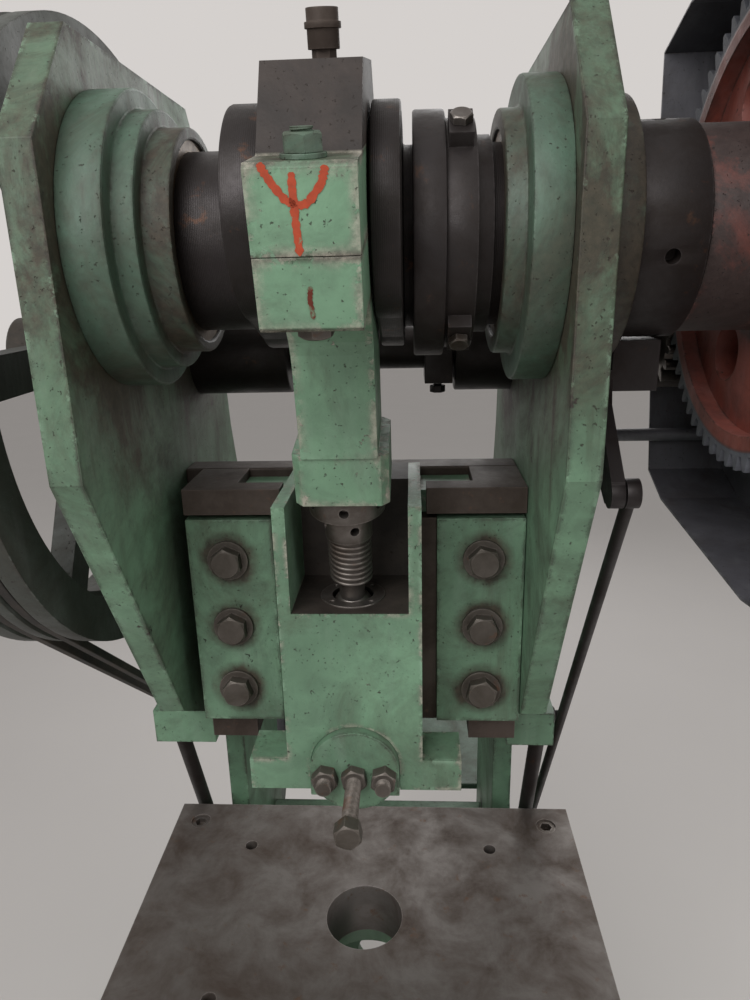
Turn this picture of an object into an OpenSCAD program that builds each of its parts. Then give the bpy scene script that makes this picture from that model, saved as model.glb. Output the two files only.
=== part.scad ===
// Mechanical stamping press: a geared C-frame crank press.
// X runs to the right, Y to the back and Z up from the floor.
// The origin is on the floor at the middle of the anchor bolts.

/* [Frame] */
// Thickness of each side plate
plate_t = 28; // [22:1:32]
// Clear distance between the side plates
plate_gap = 380; // [380:1:390]
// Sideways offset of the side plates from the ram's centre plane
plate_shift = -10; // [-10:1:-6]
// Height of the top edge of the side plates
frame_top = 1794; // [1786:2:1810]
// Height of the bevel on the front top corner
top_bevel = 92; // [80:2:110]
// Height of the upper face of the bed plate
bed_z = 800; // [790:2:810]
// Thickness of the bed plate
bed_t = 40; // [32:1:46]
// Width of the bolster
bolster_w = 552; // [540:2:580]
// Depth of the bolster, front to back
bolster_d = 438; // [420:2:450]
// Thickness of the bolster
bolster_t = 70; // [56:1:80]
// Diameter of the drop hole in the bolster
drop_d = 90; // [60:1:120]
// Spacing of the tapped die holes, left to right
die_pitch_x = 320; // [300:5:340]
// Spacing of the tapped die holes, front to back
die_pitch_y = 220; // [180:5:240]
// Diameter of the tapped die holes
die_hole_d = 16; // [12:1:20]
// Spacing of the anchor bolts, left to right
anchor_x = 580; // [570:2:600]
// Spacing of the anchor bolts, front to back
anchor_y = 600; // [560:5:620]
// Diameter of the anchor bolt holes
anchor_d = 22; // [16:1:24]
// Diameter of the tie rods beside the throat
tie_d = 20; // [14:1:22]

/* [Crank] */
// Height of the crankshaft's axis
crank_z = 1634; // [1630:1:1638]
// Distance from the crankshaft's axis to the pin's axis
throw = 86; // [84:0.5:88]
// Angle of the pin above the horizontal as it stands
rest_angle = 10; // [8:0.5:12]
// Diameter of the crankshaft's journals
journal_d = 150; // [140:1:154]
// Diameter of the crank pin
pin_d = 110; // [100:1:112]
// Width of the right crank cheek
cheek_t = 21; // [18:0.5:21]
// Wall of the crankshaft's bushes
bush_t = 9; // [6:0.5:12]

/* [Gears] */
// Module of the gear teeth
gear_m = 6; // [6:0.25:6.25]
// Number of teeth of the crank gear
gear_n = 68; // [66:2:68]
// Number of teeth of the pinion
pinion_n = 16; // [15:1:17]
// Face width of the crank gear
gear_w = 66; // [56:1:70]
// Drop of the back shaft's axis below the crankshaft's axis
back_drop = 115; // [110:1:120]
// Diameter of the back shaft
back_d = 52; // [44:1:56]

/* [Flywheel and motor] */
// Diameter of the flywheel
wheel_d = 710; // [700:2:720]
// Width of the flywheel's rim
wheel_w = 90; // [84:1:94]
// Depth of the flywheel's rim
rim_t = 50; // [40:1:56]
// Diameter of the motor pulley
pulley_d = 132; // [124:1:140]
// Diameter of the motor's housing
motor_d = 172; // [160:1:180]
// Length of the motor's housing
motor_l = 280; // [250:5:300]

/* [Slide] */
// Width of the ram's proud front
ram_w = 140; // [136:1:146]
// Width over the ram's guided wings
wing_w = 250; // [240:1:256]
// Height of the ram
ram_h = 311; // [305:1:316]
// Height of the ram's lower face as it stands
ram_z = 1089; // [1086:1:1092]
// Width of the open pocket in the ram
pocket_w = 115; // [108:1:120]
// Diameter of the shank hole
shank_d = 38.1; // [25:0.1:40]
// Depth of the shank hole
shank_h = 71; // [60:1:80]
// Width of each gib plate
gib_w = 92; // [88:1:93]
// Height of each gib plate
gib_h = 242; // [236:1:248]
// Thickness of each gib plate
gib_t = 25; // [20:1:28]

/* [Connecting rod] */
// Length from the pin's axis to the ball's centre
rod_len = 382; // [380:0.5:384]
// Thickness of the rod, along the pin
rod_w = 66; // [60:1:68]
// Half depth of the big end, front to back
big_r = 150; // [146:1:154]
// Height of the raised crown over the pin's axis
crown_h = 103; // [96:1:110]
// Diameter of the adjusting screw
screw_d = 40; // [34:1:42]
// Diameter of the lock nut
lock_d = 72; // [66:1:76]
// Diameter of the ball
ball_d = 44; // [43:0.5:45]

/* [Foot control] */
// Length of the treadle, pivot to pad
treadle_l = 700; // [660:5:720]
// Width of the treadle's pad
pad_w = 330; // [260:5:360]
// Diameter of the trip rod
trip_d = 12; // [9:0.5:12]

/* [Clearances] */
// Running clearance between a shaft and its bush, on the radius
run_c = 0.05; // [0.02:0.01:0.1]
// Sliding clearance of the ram in its guides
slide_c = 0.3; // [0.2:0.05:0.5]
// Clearance round the ball in its seat
ball_c = 3.7; // [3.6:0.1:4]
// Clearance round the open pins of the trip rods, on the radius
eye_c = 1.5; // [1.2:0.1:2]
// Gap of the shims at the rod's split
shim_c = 0.6; // [0.4:0.1:0.9]

/* [Hidden] */
$fn = 64;

// Side plates
left_in = plate_shift - plate_gap / 2;
left_out = left_in - plate_t;
right_in = plate_shift + plate_gap / 2;
right_out = right_in + plate_t;
line_y = -204;
head_y = -343;
head_rear = 89;
bevel_run = 78;
rear_y = 300;
slope_z = 1449;
lip_y = -178;
lip_z = 1134;
nose_y = -75;
throat_y = 60;
throat_z = 1066;
jaw_z = bed_z - bed_t;

// Gears and shafts
gear_r = gear_m * gear_n / 2;
pinion_r = gear_m * pinion_n / 2;
centres = gear_r + pinion_r;
back_y = line_y + sqrt(centres * centres - back_drop * back_drop);
back_z = crank_z - back_drop;
mesh_a = -asin(back_drop / centres);

// Crank and connecting rod as they stand
pin_y = line_y - throw * cos(rest_angle);
pin_z = crank_z + throw * sin(rest_angle);
rod_tilt = asin((line_y - pin_y) / rod_len);
ball_z = pin_z - rod_len * cos(rod_tilt);

// Bearings
bush_r = journal_d / 2 + bush_t;
housing_r = bush_r + 16;
flange_r = housing_r + 24;
flange_t = 36;
sleeve_r = back_d / 2 + 27;
left_end = left_out - 4;
right_end = right_out + 26;
left_nose = left_in + 77;
right_nose = right_in - 46;

// Colours
green = [0.50, 0.66, 0.56];
deep_green = [0.36, 0.50, 0.42];
iron = [0.27, 0.26, 0.27];
oily = [0.36, 0.31, 0.28];
steel = [0.55, 0.55, 0.56];
bronze = [0.62, 0.47, 0.27];
red = [0.55, 0.24, 0.21];
blue_grey = [0.36, 0.40, 0.47];
rubber = [0.20, 0.15, 0.13];

// Cylinder along X from x0 to x1, with its axis at y and z
module xcyl(x0, x1, r, y, z) {
    translate([x0, y, z]) rotate([0, 90, 0]) cylinder(r = r, h = x1 - x0);
}

// Cylinder along Y from y0 to y1, with its axis at x and z
module ycyl(y0, y1, r, x, z) {
    translate([x, y0, z]) rotate([-90, 0, 0]) cylinder(r = r, h = y1 - y0);
}

// Cylinder along Z from z0 to z1, with its axis at x and y
module zcyl(z0, z1, r, x, y) {
    translate([x, y, z0]) cylinder(r = r, h = z1 - z0);
}

// Box between two opposite corners, in any order
module box(a, b) {
    low = [for (i = [0:2]) min(a[i], b[i])];
    translate(low) cube([for (i = [0:2]) abs(b[i] - a[i])]);
}

// Outline drawn in Y and Z, thickened along X from x0 to x1
module side(x0, x1) {
    translate([x0, 0, 0]) rotate([90, 0, 90]) linear_extrude(x1 - x0) children();
}

// Hexagonal prism along Z, af across its flats
module hex(af, h) {
    cylinder(d = af / cos(30), h = h, $fn = 6);
}

// Points of an arc of radius r about c, from angle a0 to a1
function arc(c, r, a0, a1, n) =
    [for (i = [0:n]) let (a = a0 + (a1 - a0) * i / n) c + r * [cos(a), sin(a)]];

// Outline p, listed anticlockwise, with every edge moved in by t
function inset(p, t) = [for (i = [0:len(p) - 1])
    let (a = p[(i + len(p) - 1) % len(p)], b = p[i], c = p[(i + 1) % len(p)])
    let (u = (b - a) / norm(b - a), v = (c - b) / norm(c - b))
    b + t * [-u[1] - v[1], u[0] + v[0]] / (1 + u * v)];

// Frame

arch_r = 190;
throat_r = 60;
leg_front = -330;
leg_back = -130;

module plate_outline() {
    arch_y = leg_back + arch_r;
    front = bed_front - 8;
    polygon(concat(
        [[front, jaw_z], [front, jaw_z - 170], [leg_front, 400], [leg_front, 0]],
        arc([arch_y, 0], arch_r, 180, 0, 16),
        [[rear_y, 0], [rear_y, 900], [head_rear + 51, 1400], [head_rear, frame_top - 49]],
        [[head_rear - 40, frame_top], [head_y + bevel_run, frame_top]],
        [[head_y, frame_top - top_bevel], [head_y, slope_z], [lip_y, lip_z], [nose_y, throat_z]],
        arc([throat_y - throat_r, throat_z - throat_r], throat_r, 90, 0, 8),
        [[throat_y, jaw_z]]
    ));
}

module side_plate(x0) {
    color(green) difference() {
        side(x0, x0 + plate_t) plate_outline();
        xcyl(x0 - 1, x0 + plate_t + 1, housing_r, line_y, crank_z);
        xcyl(x0 - 1, x0 + plate_t + 1, sleeve_r, back_y, back_z);
        xcyl(x0 - 1, x0 + plate_t + 1, treadle_shaft_r + run_c, treadle_y, treadle_z);
    }
}

module side_plate_left() {
    side_plate(left_out);
}

module side_plate_right() {
    difference() {
        side_plate(right_in);
        xcyl(right_in - 1, right_out + 1, trip_pin_r, rocker_y, rocker_z);
    }
}

web_y = rear_y - 85;
web_t = 25;
web_spans = [[440, 670], [250, 420]];

// Cross webs between the side plates, each with a round hole
module rear_webs() {
    color(green) for (s = web_spans) difference() {
        box([left_in, web_y, s[0]], [right_in, web_y + web_t, s[1]]);
        ycyl(web_y - 1, web_y + web_t + 1, (s[1] - s[0]) / 4, plate_shift, (s[0] + s[1]) / 2);
    }
}

foot_t = 20;
foot_rim = 26;
gusset_t = 14;
gusset_h = 110;
gusset_in = 60;

// Foot flange along the outside of each side plate, with gussets and anchor holes
module feet() {
    color(deep_green) for (s = [-1, 1]) {
        face = s < 0 ? left_out : right_out;
        edge = s * (anchor_x / 2 + foot_rim);
        difference() {
            union() {
                box([face, -anchor_y / 2 - foot_rim, 0], [edge, anchor_y / 2 + foot_rim, foot_t]);
                for (y = [gusset_in - anchor_y / 2, anchor_y / 2 - gusset_in]) translate([0, y, foot_t])
                    rotate([90, 0, 0]) linear_extrude(gusset_t)
                        polygon([[face, 0], [edge - s * 8, 0], [edge - s * 8, 8], [face, gusset_h]]);
            }
            for (y = [-1, 1]) zcyl(-1, foot_t + 1, anchor_d / 2, s * anchor_x / 2, y * anchor_y / 2);
        }
    }
}

// Guides and gibs

ram_y = -250;
ram_rear = -86;
gib_x = 87;
gib_y = -170;
gib_z = 1119;
guide_t = 36;
guide_z0 = gib_z - 40;
guide_z1 = gib_z + gib_h + 34;
gib_bolt_r = 10;
gib_washer_r = 22;
gib_washer_t = 4;
gib_head_af = 30;
gib_bolt_in = 30;
gib_bolt_x = gib_x + gib_w / 2 + 3;
gib_rows = [gib_z + 42, gib_z + gib_h / 2 - 2, gib_z + gib_h - 45];

// Plate behind the ram, between the side plates
module guide_back() {
    y0 = ram_rear + slide_c;
    color(oily) box([left_in, y0, guide_z0], [right_in, y0 + guide_t, guide_z1]);
}

// Cheek beside each ram wing, with the bar that tops the gib plate
module guide_cheeks() {
    wing = wing_w / 2 + slide_c;
    cheek = gib_x + gib_w;
    color(oily) for (s = [-1, 1]) difference() {
        union() {
            box([s * wing, gib_y + gib_t, guide_z0], [s * cheek, ram_rear + slide_c, guide_z1]);
            box([s * (ram_w / 2 + 6), gib_y - 2, gib_z + gib_h + 6], [s * cheek, gib_y + gib_t, guide_z1]);
        }
        for (z = gib_rows) ycyl(gib_y, gib_y + gib_t + gib_bolt_in, gib_bolt_r, s * gib_bolt_x, z);
    }
}

module gib_plate(s) {
    color(green) difference() {
        box([s * gib_x, gib_y, gib_z], [s * (gib_x + gib_w), gib_y + gib_t, gib_z + gib_h]);
        for (z = gib_rows) ycyl(gib_y - 1, gib_y + gib_t + 1, gib_bolt_r, s * gib_bolt_x, z);
    }
}

module gib_plate_left() {
    gib_plate(-1);
}

module gib_plate_right() {
    gib_plate(1);
}

// Hexagon bolts of the gib plates on their round washers
module gib_bolts() {
    color(iron) for (s = [-1, 1], z = gib_rows) {
        ycyl(gib_y, gib_y + gib_t + gib_bolt_in, gib_bolt_r, s * gib_bolt_x, z);
        ycyl(gib_y - gib_washer_t, gib_y, gib_washer_r, s * gib_bolt_x, z);
        translate([s * gib_bolt_x, gib_y - gib_washer_t, z]) rotate([90, 15 * s, 0]) hex(gib_head_af, 12.5);
    }
}

// Wear strips between the gib plates and the ram's front
module gib_strips() {
    color(oily) for (s = [-1, 1])
        box([s * (ram_w / 2 + slide_c), gib_y + 4, gib_z], [s * gib_x, gib_y + gib_t, gib_z + gib_h]);
}

// Bed and bolster

bed_back = -15;
bed_front = bed_back - bolster_d;
bed_mid = (bed_front + bed_back) / 2;
bed_rim = 5;
clamp_in = 34;
clamp_r = 8;
clamp_head_r = 12.5;
clamp_sink = 17;
clamp_at = [for (x = [-1, 1], y = [-1, 1])
    [x * (bolster_w / 2 - clamp_in), bed_mid + y * (bolster_d / 2 - clamp_in)]];

module bed_plate() {
    color(green) difference() {
        box([-bolster_w / 2 - bed_rim, bed_front - bed_rim, jaw_z],
            [bolster_w / 2 + bed_rim, bed_back + 15, bed_z]);
        zcyl(jaw_z - 1, bed_z + 1, drop_d / 2 + 20, 0, line_y);
        for (p = clamp_at) zcyl(jaw_z - 1, bed_z + 1, clamp_r, p[0], p[1]);
    }
}

// Bolster with its drop hole, tapped die holes and sunk clamp holes
module bolster() {
    top = bed_z + bolster_t;
    color(iron) difference() {
        box([-bolster_w / 2, bed_front, bed_z], [bolster_w / 2, bed_back, top]);
        zcyl(bed_z - 1, top + 1, drop_d / 2, 0, line_y);
        for (x = [-1, 1], y = [-1, 1])
            zcyl(bed_z - 1, top + 1, die_hole_d / 2, x * die_pitch_x / 2, line_y + y * die_pitch_y / 2);
        for (p = clamp_at) {
            zcyl(bed_z - 1, top + 1, clamp_r, p[0], p[1]);
            zcyl(top - clamp_sink, top + 1, clamp_head_r + 0.5, p[0], p[1]);
        }
    }
}

// Socket screws that hold the bolster down
module bolster_screws() {
    seat = bed_z + bolster_t - clamp_sink;
    color(steel) for (p = clamp_at) difference() {
        union() {
            zcyl(jaw_z, seat, clamp_r, p[0], p[1]);
            zcyl(seat, seat + 15, clamp_head_r, p[0], p[1]);
        }
        translate([p[0], p[1], seat + 7]) hex(14, 9);
    }
}

// Tie rods beside the throat

lug_out = [52, 32];
lug_h = 47;
lug_d = 65;
low_lug_h = 45;
low_lug_d = 50;
lug_x = [[left_in, left_out - lug_out[0]], [right_in, right_out + lug_out[1]]];
tie_x = [left_out - lug_out[0] / 2, right_out + lug_out[1] / 2];
tie_top = [nose_y + 23, throat_z - lug_h];
tie_low = [throat_y - 30, jaw_z + low_lug_h];
tie_run = tie_top - tie_low;
tie_lean = atan(-tie_run[0] / tie_run[1]);
tie_in = 20;
tie_nut = [nose_y + lug_d - 15, throat_z - lug_h + 13];

// Axis of a tie rod, with both its ends set into the lugs
module tie_bar(x) {
    translate([x, tie_low[0], tie_low[1]]) rotate([tie_lean, 0, 0])
        zcyl(-tie_in, norm(tie_run) + tie_in, tie_d / 2, 0, 0);
}

module tie_lugs() {
    color(green) for (i = [0, 1]) difference() {
        union() {
            box([lug_x[i][0], nose_y, throat_z - lug_h], [lug_x[i][1], nose_y + lug_d, throat_z]);
            box([lug_x[i][0], tie_low[0] - low_lug_d / 2, jaw_z],
                [lug_x[i][1], tie_low[0] + low_lug_d / 2, jaw_z + low_lug_h]);
        }
        tie_bar(tie_x[i]);
    }
}

module tie_rods() {
    color(iron) for (x = tie_x) tie_bar(x);
}

// Cross bolts of the upper lugs, with their heads on the outer sides
module tie_nuts() {
    color(iron) for (i = [0, 1]) {
        s = 2 * i - 1;
        translate([lug_x[i][1], tie_nut[0], tie_nut[1]]) rotate([0, s * 90, 0]) {
            hex(19, 10);
            cylinder(r = 6, h = 17);
        }
    }
}

// Bearings

// Flanged and stepped housing in the left side plate
module crank_bearing_left() {
    step = left_in + flange_t;
    color(deep_green) difference() {
        union() {
            xcyl(left_end, left_nose, housing_r - 6, line_y, crank_z);
            xcyl(left_end, step, housing_r, line_y, crank_z);
            xcyl(left_in, step, flange_r, line_y, crank_z);
            xcyl(step - 1, left_nose - 23, flange_r - 16, line_y, crank_z);
        }
        xcyl(left_end - 1, left_nose + 1, bush_r, line_y, crank_z);
    }
}

// Flanged housing in the right side plate, with its outer boss
module crank_bearing_right() {
    color(deep_green) difference() {
        union() {
            xcyl(right_nose, right_end, housing_r, line_y, crank_z);
            xcyl(right_in - 30, right_in, flange_r, line_y, crank_z);
            xcyl(right_out, right_end, housing_r + 8, line_y, crank_z);
        }
        xcyl(right_nose - 1, right_end + 1, bush_r, line_y, crank_z);
    }
}

module crank_bushes() {
    color(bronze) difference() {
        union() {
            xcyl(left_end, left_nose - 3, bush_r, line_y, crank_z);
            xcyl(right_nose + 3, right_end, bush_r, line_y, crank_z);
        }
        xcyl(left_end - 1, right_end + 1, journal_d / 2 + run_c, line_y, crank_z);
    }
}

collar_x = 77;
collar_w = 33;
sleeve_spans = [[left_end, collar_x - 162], [collar_x + collar_w + 3, right_end]];

// Long sleeves that carry the back shaft, one from each side plate
module back_sleeves() {
    color(iron) for (s = sleeve_spans) difference() {
        xcyl(s[0], s[1], sleeve_r, back_y, back_z);
        xcyl(s[0] - 1, s[1] + 1, back_d / 2 + run_c, back_y, back_z);
    }
}

// Crankshaft

rod_gap = 2;
cheek_in = rod_w / 2 + rod_gap;
left_cheek_t = cheek_t + 11;
stub_r = 56;
clutch_x = [right_end + 3, right_end + 55];
clutch_r = journal_d / 2 + 13;
hub_x = clutch_x[1] + 2;
gear_x = hub_x + 66;
stub_end = gear_x + gear_w + 4;

// One crank cheek: round ends about the journal and the pin, with flat sides
module cheek(x0, x1) {
    main_r = journal_d / 2 + 17;
    end_r = pin_d / 2 + 23;
    reach = [pin_y - line_y, pin_z - crank_z];
    across = [-reach[1], reach[0]] / throw;
    centre = [line_y, crank_z];
    xcyl(x0, x1, main_r, line_y, crank_z);
    xcyl(x0, x1, end_r, pin_y, pin_z);
    side(x0, x1) polygon([centre + main_r * across, centre + reach + end_r * across,
        centre + reach - end_r * across, centre - main_r * across]);
}

module crankshaft() {
    color(iron) union() {
        xcyl(left_end + 2, -cheek_in - left_cheek_t / 2, journal_d / 2, line_y, crank_z);
        cheek(-cheek_in - left_cheek_t, -cheek_in);
        xcyl(-cheek_in - 1, cheek_in + 1, pin_d / 2, pin_y, pin_z);
        cheek(cheek_in, cheek_in + cheek_t);
        xcyl(cheek_in + cheek_t / 2, right_end + 1, journal_d / 2, line_y, crank_z);
        xcyl(right_end, stub_end, stub_r, line_y, crank_z);
    }
}

ring_x = cheek_in + cheek_t + 8;
ring_t = 26;
ring_r = journal_d / 2 + 26;
clamp_x = ring_x + ring_t;
clamp_t = 24;
ear_w = 19;
ear_h = 17;
ear_a = 52;

module stop_ring() {
    color(iron) difference() {
        xcyl(ring_x, clamp_x, ring_r, line_y, crank_z);
        xcyl(ring_x - 1, clamp_x + 1, journal_d / 2, line_y, crank_z);
    }
}

// Ring clamped on the shaft: a shallow band with two thick ears and a low shoulder
module clamp_ring() {
    color(iron) difference() {
        union() {
            xcyl(clamp_x, clamp_x + clamp_t, ring_r - 7, line_y, crank_z);
            xcyl(clamp_x, clamp_x + clamp_t + 13, journal_d / 2 + 6, line_y, crank_z);
            for (s = [-1, 1]) translate([clamp_x + 2, line_y, crank_z]) rotate([s * ear_a, 0, 0])
                box([0, -ring_r - 3, -ear_h], [ear_w, -journal_d / 2 - 4, ear_h]);
        }
        xcyl(clamp_x - 1, clamp_x + clamp_t + 14, journal_d / 2, line_y, crank_z);
        for (s = [-1, 1]) translate([clamp_x + 2 + ear_w / 2, line_y, crank_z]) rotate([s * ear_a, 0, 0])
            ycyl(-ring_r - 4, -journal_d / 2, 5, 0, 0);
    }
}

// Bolts through the ears of the clamp ring, square to the shaft
module clamp_bolts() {
    color(steel) for (s = [-1, 1])
        translate([clamp_x + 2 + ear_w / 2, line_y, crank_z]) rotate([s * ear_a, 0, 0]) {
            ycyl(-ring_r - 3, -journal_d / 2, 5, 0, 0);
            translate([0, -ring_r - 3, 0]) rotate([90, 0, 0]) hex(16, 6.5);
        }
}

// Collar of the pin clutch, with spanner holes and the notch of its trip
module clutch_collar() {
    mid = (clutch_x[0] + clutch_x[1]) / 2;
    color(blue_grey) difference() {
        xcyl(clutch_x[0], clutch_x[1], clutch_r, line_y, crank_z);
        xcyl(clutch_x[0] - 1, clutch_x[1] + 1, stub_r, line_y, crank_z);
        for (a = [14:90:284]) translate([mid, line_y, crank_z]) rotate([a, 0, 0])
            ycyl(-clutch_r - 1, -clutch_r + 14, 6, 0, 0);
        box([mid - 16, line_y - 22, crank_z - clutch_r - 1], [mid + 16, line_y + 22, crank_z - clutch_r + 7]);
    }
}

module crank_end_nut() {
    color(steel) union() {
        xcyl(stub_end, stub_end + 8, stub_r + 12, line_y, crank_z);
        translate([stub_end + 8, line_y, crank_z]) rotate([0, 90, 0]) hex(70, 18);
    }
}

// Connecting rod

// The rod's own frame: the pin's axis at the origin and the rod along -Z
module on_rod() {
    translate([0, pin_y, pin_z]) rotate([rod_tilt, 0, 0]) children();
}

liner_t = 8;
liner_r = pin_d / 2 + liner_t;
cap_lug = 52;
body_lug = 46;
lug_in = 46;
crown_flat = 58;
edge_c = 3;
cap_bolt_r = 7;
cap_bolt_u = big_r - 23;
cap_bolt_af = 22;
neck_r = 45;
neck_fillet = 62;
socket_top = -187;
socket_low = -236;
socket_w = 84;
socket_c = 7;
screw_top = -120;
cup_x = 4;
cup_u = -10;

// Square block with chamfered corners, from z0 to z1
module chamfer_block(w, c, z0, z1) {
    h = w / 2;
    k = h - c;
    translate([0, 0, z0]) linear_extrude(z1 - z0)
        polygon([[-k, -h], [k, -h], [h, -k], [h, k], [k, h], [-k, h], [-h, k], [-h, -k]]);
}

module rod_body() {
    f = neck_fillet;
    color(green) on_rod() difference() {
        union() {
            side(-rod_w / 2, rod_w / 2) polygon(concat(
                [[-big_r, 0], [-big_r, edge_c - body_lug], [edge_c - big_r, -body_lug]],
                arc([-neck_r - f, -body_lug - f], f, 90, 0, 8),
                [[-neck_r, socket_top - 1], [neck_r, socket_top - 1]],
                arc([neck_r + f, -body_lug - f], f, 180, 90, 8),
                [[big_r - edge_c, -body_lug], [big_r, edge_c - body_lug], [big_r, 0]]));
            chamfer_block(socket_w, socket_c, socket_low, socket_top);
        }
        xcyl(-rod_w, rod_w, liner_r, 0, 0);
        zcyl(socket_low - 1, screw_top, screw_d / 2 + run_c, 0, 0);
        for (s = [-1, 1]) zcyl(-body_lug - 1, 1, cap_bolt_r, 0, s * cap_bolt_u);
    }
}

module rod_cap() {
    color(green) on_rod() difference() {
        side(-rod_w / 2, rod_w / 2) polygon([
            [-big_r, shim_c], [-big_r, cap_lug - edge_c], [edge_c - big_r, cap_lug],
            [lug_in - big_r, cap_lug], [-crown_flat, crown_h], [crown_flat, crown_h], [big_r - lug_in, cap_lug],
            [big_r - edge_c, cap_lug], [big_r, cap_lug - edge_c], [big_r, shim_c]]);
        xcyl(-rod_w, rod_w, liner_r, 0, 0);
        for (s = [-1, 1]) zcyl(-1, cap_lug + 1, cap_bolt_r, 0, s * cap_bolt_u);
        zcyl(pin_d / 2, crown_h + 1, 4, cup_x, cup_u);
    }
}

module rod_liner() {
    color(bronze) on_rod() difference() {
        xcyl(-rod_w / 2, rod_w / 2, liner_r, 0, 0);
        xcyl(-rod_w, rod_w, pin_d / 2 + run_c, 0, 0);
        zcyl(pin_d / 2 - 4, liner_r + 2, 2.5, cup_x, cup_u);
    }
}

module cap_bolts() {
    color(steel) on_rod() for (s = [-1, 1]) translate([0, s * cap_bolt_u, 0]) {
        translate([0, 0, -body_lug]) cylinder(r = cap_bolt_r, h = body_lug + cap_lug + 20);
        translate([0, 0, -body_lug - 9]) hex(cap_bolt_af, 9);
        translate([0, 0, cap_lug]) cylinder(r = 14, h = 3);
        translate([0, 0, cap_lug + 3]) rotate([0, 0, 12]) hex(cap_bolt_af, 11);
    }
}

// Oil cup on the crown, with its stem in the cap
module oil_cup() {
    color(iron) on_rod() translate([cup_x, cup_u, crown_h]) difference() {
        union() {
            translate([0, 0, -10]) cylinder(r = 4, h = 16);
            hex(15, 6);
            translate([0, 0, 6]) cylinder(r = 11, h = 24);
            translate([0, 0, 18]) cylinder(r = 12.5, h = 4);
        }
        translate([0, 0, 10]) cylinder(r = 9, h = 21);
    }
}

shoulder_z = [-290, socket_low - 26];
neck_top = -rod_len + 42;

// Screw with a tommy shoulder, a thinner neck and the ball
module adjusting_screw() {
    color(steel) on_rod() difference() {
        union() {
            zcyl(neck_top, screw_top - 6, screw_d / 2, 0, 0);
            zcyl(shoulder_z[0], shoulder_z[1], screw_d / 2 + 3, 0, 0);
            zcyl(-rod_len, neck_top + 1, 13, 0, 0);
            translate([0, 0, -rod_len]) sphere(d = ball_d);
        }
        for (a = [20, 110]) rotate([0, 0, a])
            ycyl(-screw_d, screw_d, 4.5, 0, (shoulder_z[0] + shoulder_z[1]) / 2);
    }
}

lock_h = 24;

// Round lock nut with tommy holes
module lock_nut() {
    color(steel) on_rod() translate([0, 0, socket_low - lock_h]) difference() {
        cylinder(d = lock_d, h = lock_h);
        translate([0, 0, -1]) cylinder(d = screw_d, h = lock_h + 2);
        for (a = [0:60:300]) rotate([0, 0, a]) ycyl(-lock_d / 2 - 1, -screw_d / 2 - 4, 4.5, 0, lock_h / 2);
    }
}

// Ram

wing_z = [36, ram_h - 15];
ram_flange_w = 220;
ram_flange_h = 36;
ram_flange_d = 50;
pocket_y = -154;
pocket_z = ball_z + 14.6;
seat_r = 33;
seat_h = 58;
nut_h = 14;
cap_r = 46;
cap_z = ram_z + 29;
cap_sink = 18;
cap_face = ram_y - 10;
cap_fit = 0.5;
stud_x = 30;
stud_r = 8;
stud_z = cap_z - 5;
stud_in = 26;

module ram() {
    color(green) difference() {
        union() {
            box([-ram_w / 2, ram_y, ram_z], [ram_w / 2, ram_rear, ram_z + ram_h]);
            box([-wing_w / 2, gib_y + gib_t + slide_c, ram_z + wing_z[0]],
                [wing_w / 2, ram_rear, ram_z + wing_z[1]]);
            box([-ram_flange_w / 2, ram_y, ram_z],
                [ram_flange_w / 2, ram_y + ram_flange_d, ram_z + ram_flange_h]);
        }
        box([-pocket_w / 2, ram_y - 1, pocket_z], [pocket_w / 2, pocket_y, ram_z + ram_h + 1]);
        zcyl(pocket_z - seat_h, pocket_z + 1, seat_r, 0, line_y);
        zcyl(ram_z - 1, ram_z + shank_h, shank_d / 2, 0, line_y);
        ycyl(ram_y - 1, ram_y + cap_sink, cap_r + cap_fit, 0, cap_z);
        box([-cap_r - cap_fit, ram_y - 1, ram_z - 1], [cap_r + cap_fit, ram_y + cap_sink, cap_z]);
        for (x = [-stud_x, stud_x]) ycyl(ram_y, ram_y + cap_sink + stud_in, stud_r, x, stud_z);
        ycyl(ram_y, line_y - shank_d / 2 + 2, stud_r, 0, stud_z);
    }
}

// Bronze seat under the ball
module ball_seat() {
    color(bronze) translate([0, line_y, 0]) difference() {
        zcyl(pocket_z - seat_h, pocket_z - nut_h, seat_r, 0, 0);
        translate([0, 0, ball_z]) sphere(r = ball_d / 2 + ball_c);
    }
}

// Threaded ring that keeps the ball in its seat
module seat_nut() {
    color(steel) translate([0, line_y, 0]) difference() {
        zcyl(pocket_z - nut_h, pocket_z + 1.5, seat_r, 0, 0);
        translate([0, 0, ball_z]) sphere(r = ball_d / 2 + ball_c);
        zcyl(ball_z, pocket_z + 3, ball_d / 2 - 0.8, 0, 0);
        for (a = [45:90:315]) rotate([0, 0, a]) zcyl(pocket_z - 5, pocket_z + 3, 2.5, seat_r - 5.5, 0);
    }
}

// Round-topped clamp cap over the shank hole
module shank_cap() {
    color(oily) difference() {
        union() {
            ycyl(cap_face, ram_y + cap_sink, cap_r, 0, cap_z);
            box([-cap_r, cap_face, ram_z], [cap_r, ram_y + cap_sink, cap_z]);
        }
        for (x = [-stud_x, 0, stud_x]) ycyl(cap_face - 1, ram_y + cap_sink + 1, stud_r, x, stud_z);
    }
}

// Studs and nuts of the clamp cap
module shank_studs() {
    color(steel) for (x = [-stud_x, stud_x]) {
        ycyl(cap_face - 22, ram_y + cap_sink + stud_in, stud_r, x, stud_z);
        translate([x, cap_face, stud_z]) rotate([90, 20, 0]) hex(24, 13);
    }
}

// Long set screw that bears on the shank, with its lock nut
module shank_screw() {
    color(steel) {
        ycyl(cap_face - 72, line_y - shank_d / 2 - 0.5, stud_r, 0, stud_z);
        translate([0, cap_face - 72, stud_z]) rotate([90, 0, 0]) hex(24, 16);
        translate([0, cap_face, stud_z]) rotate([90, 10, 0]) hex(24, 11);
    }
}

// Gears

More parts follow.
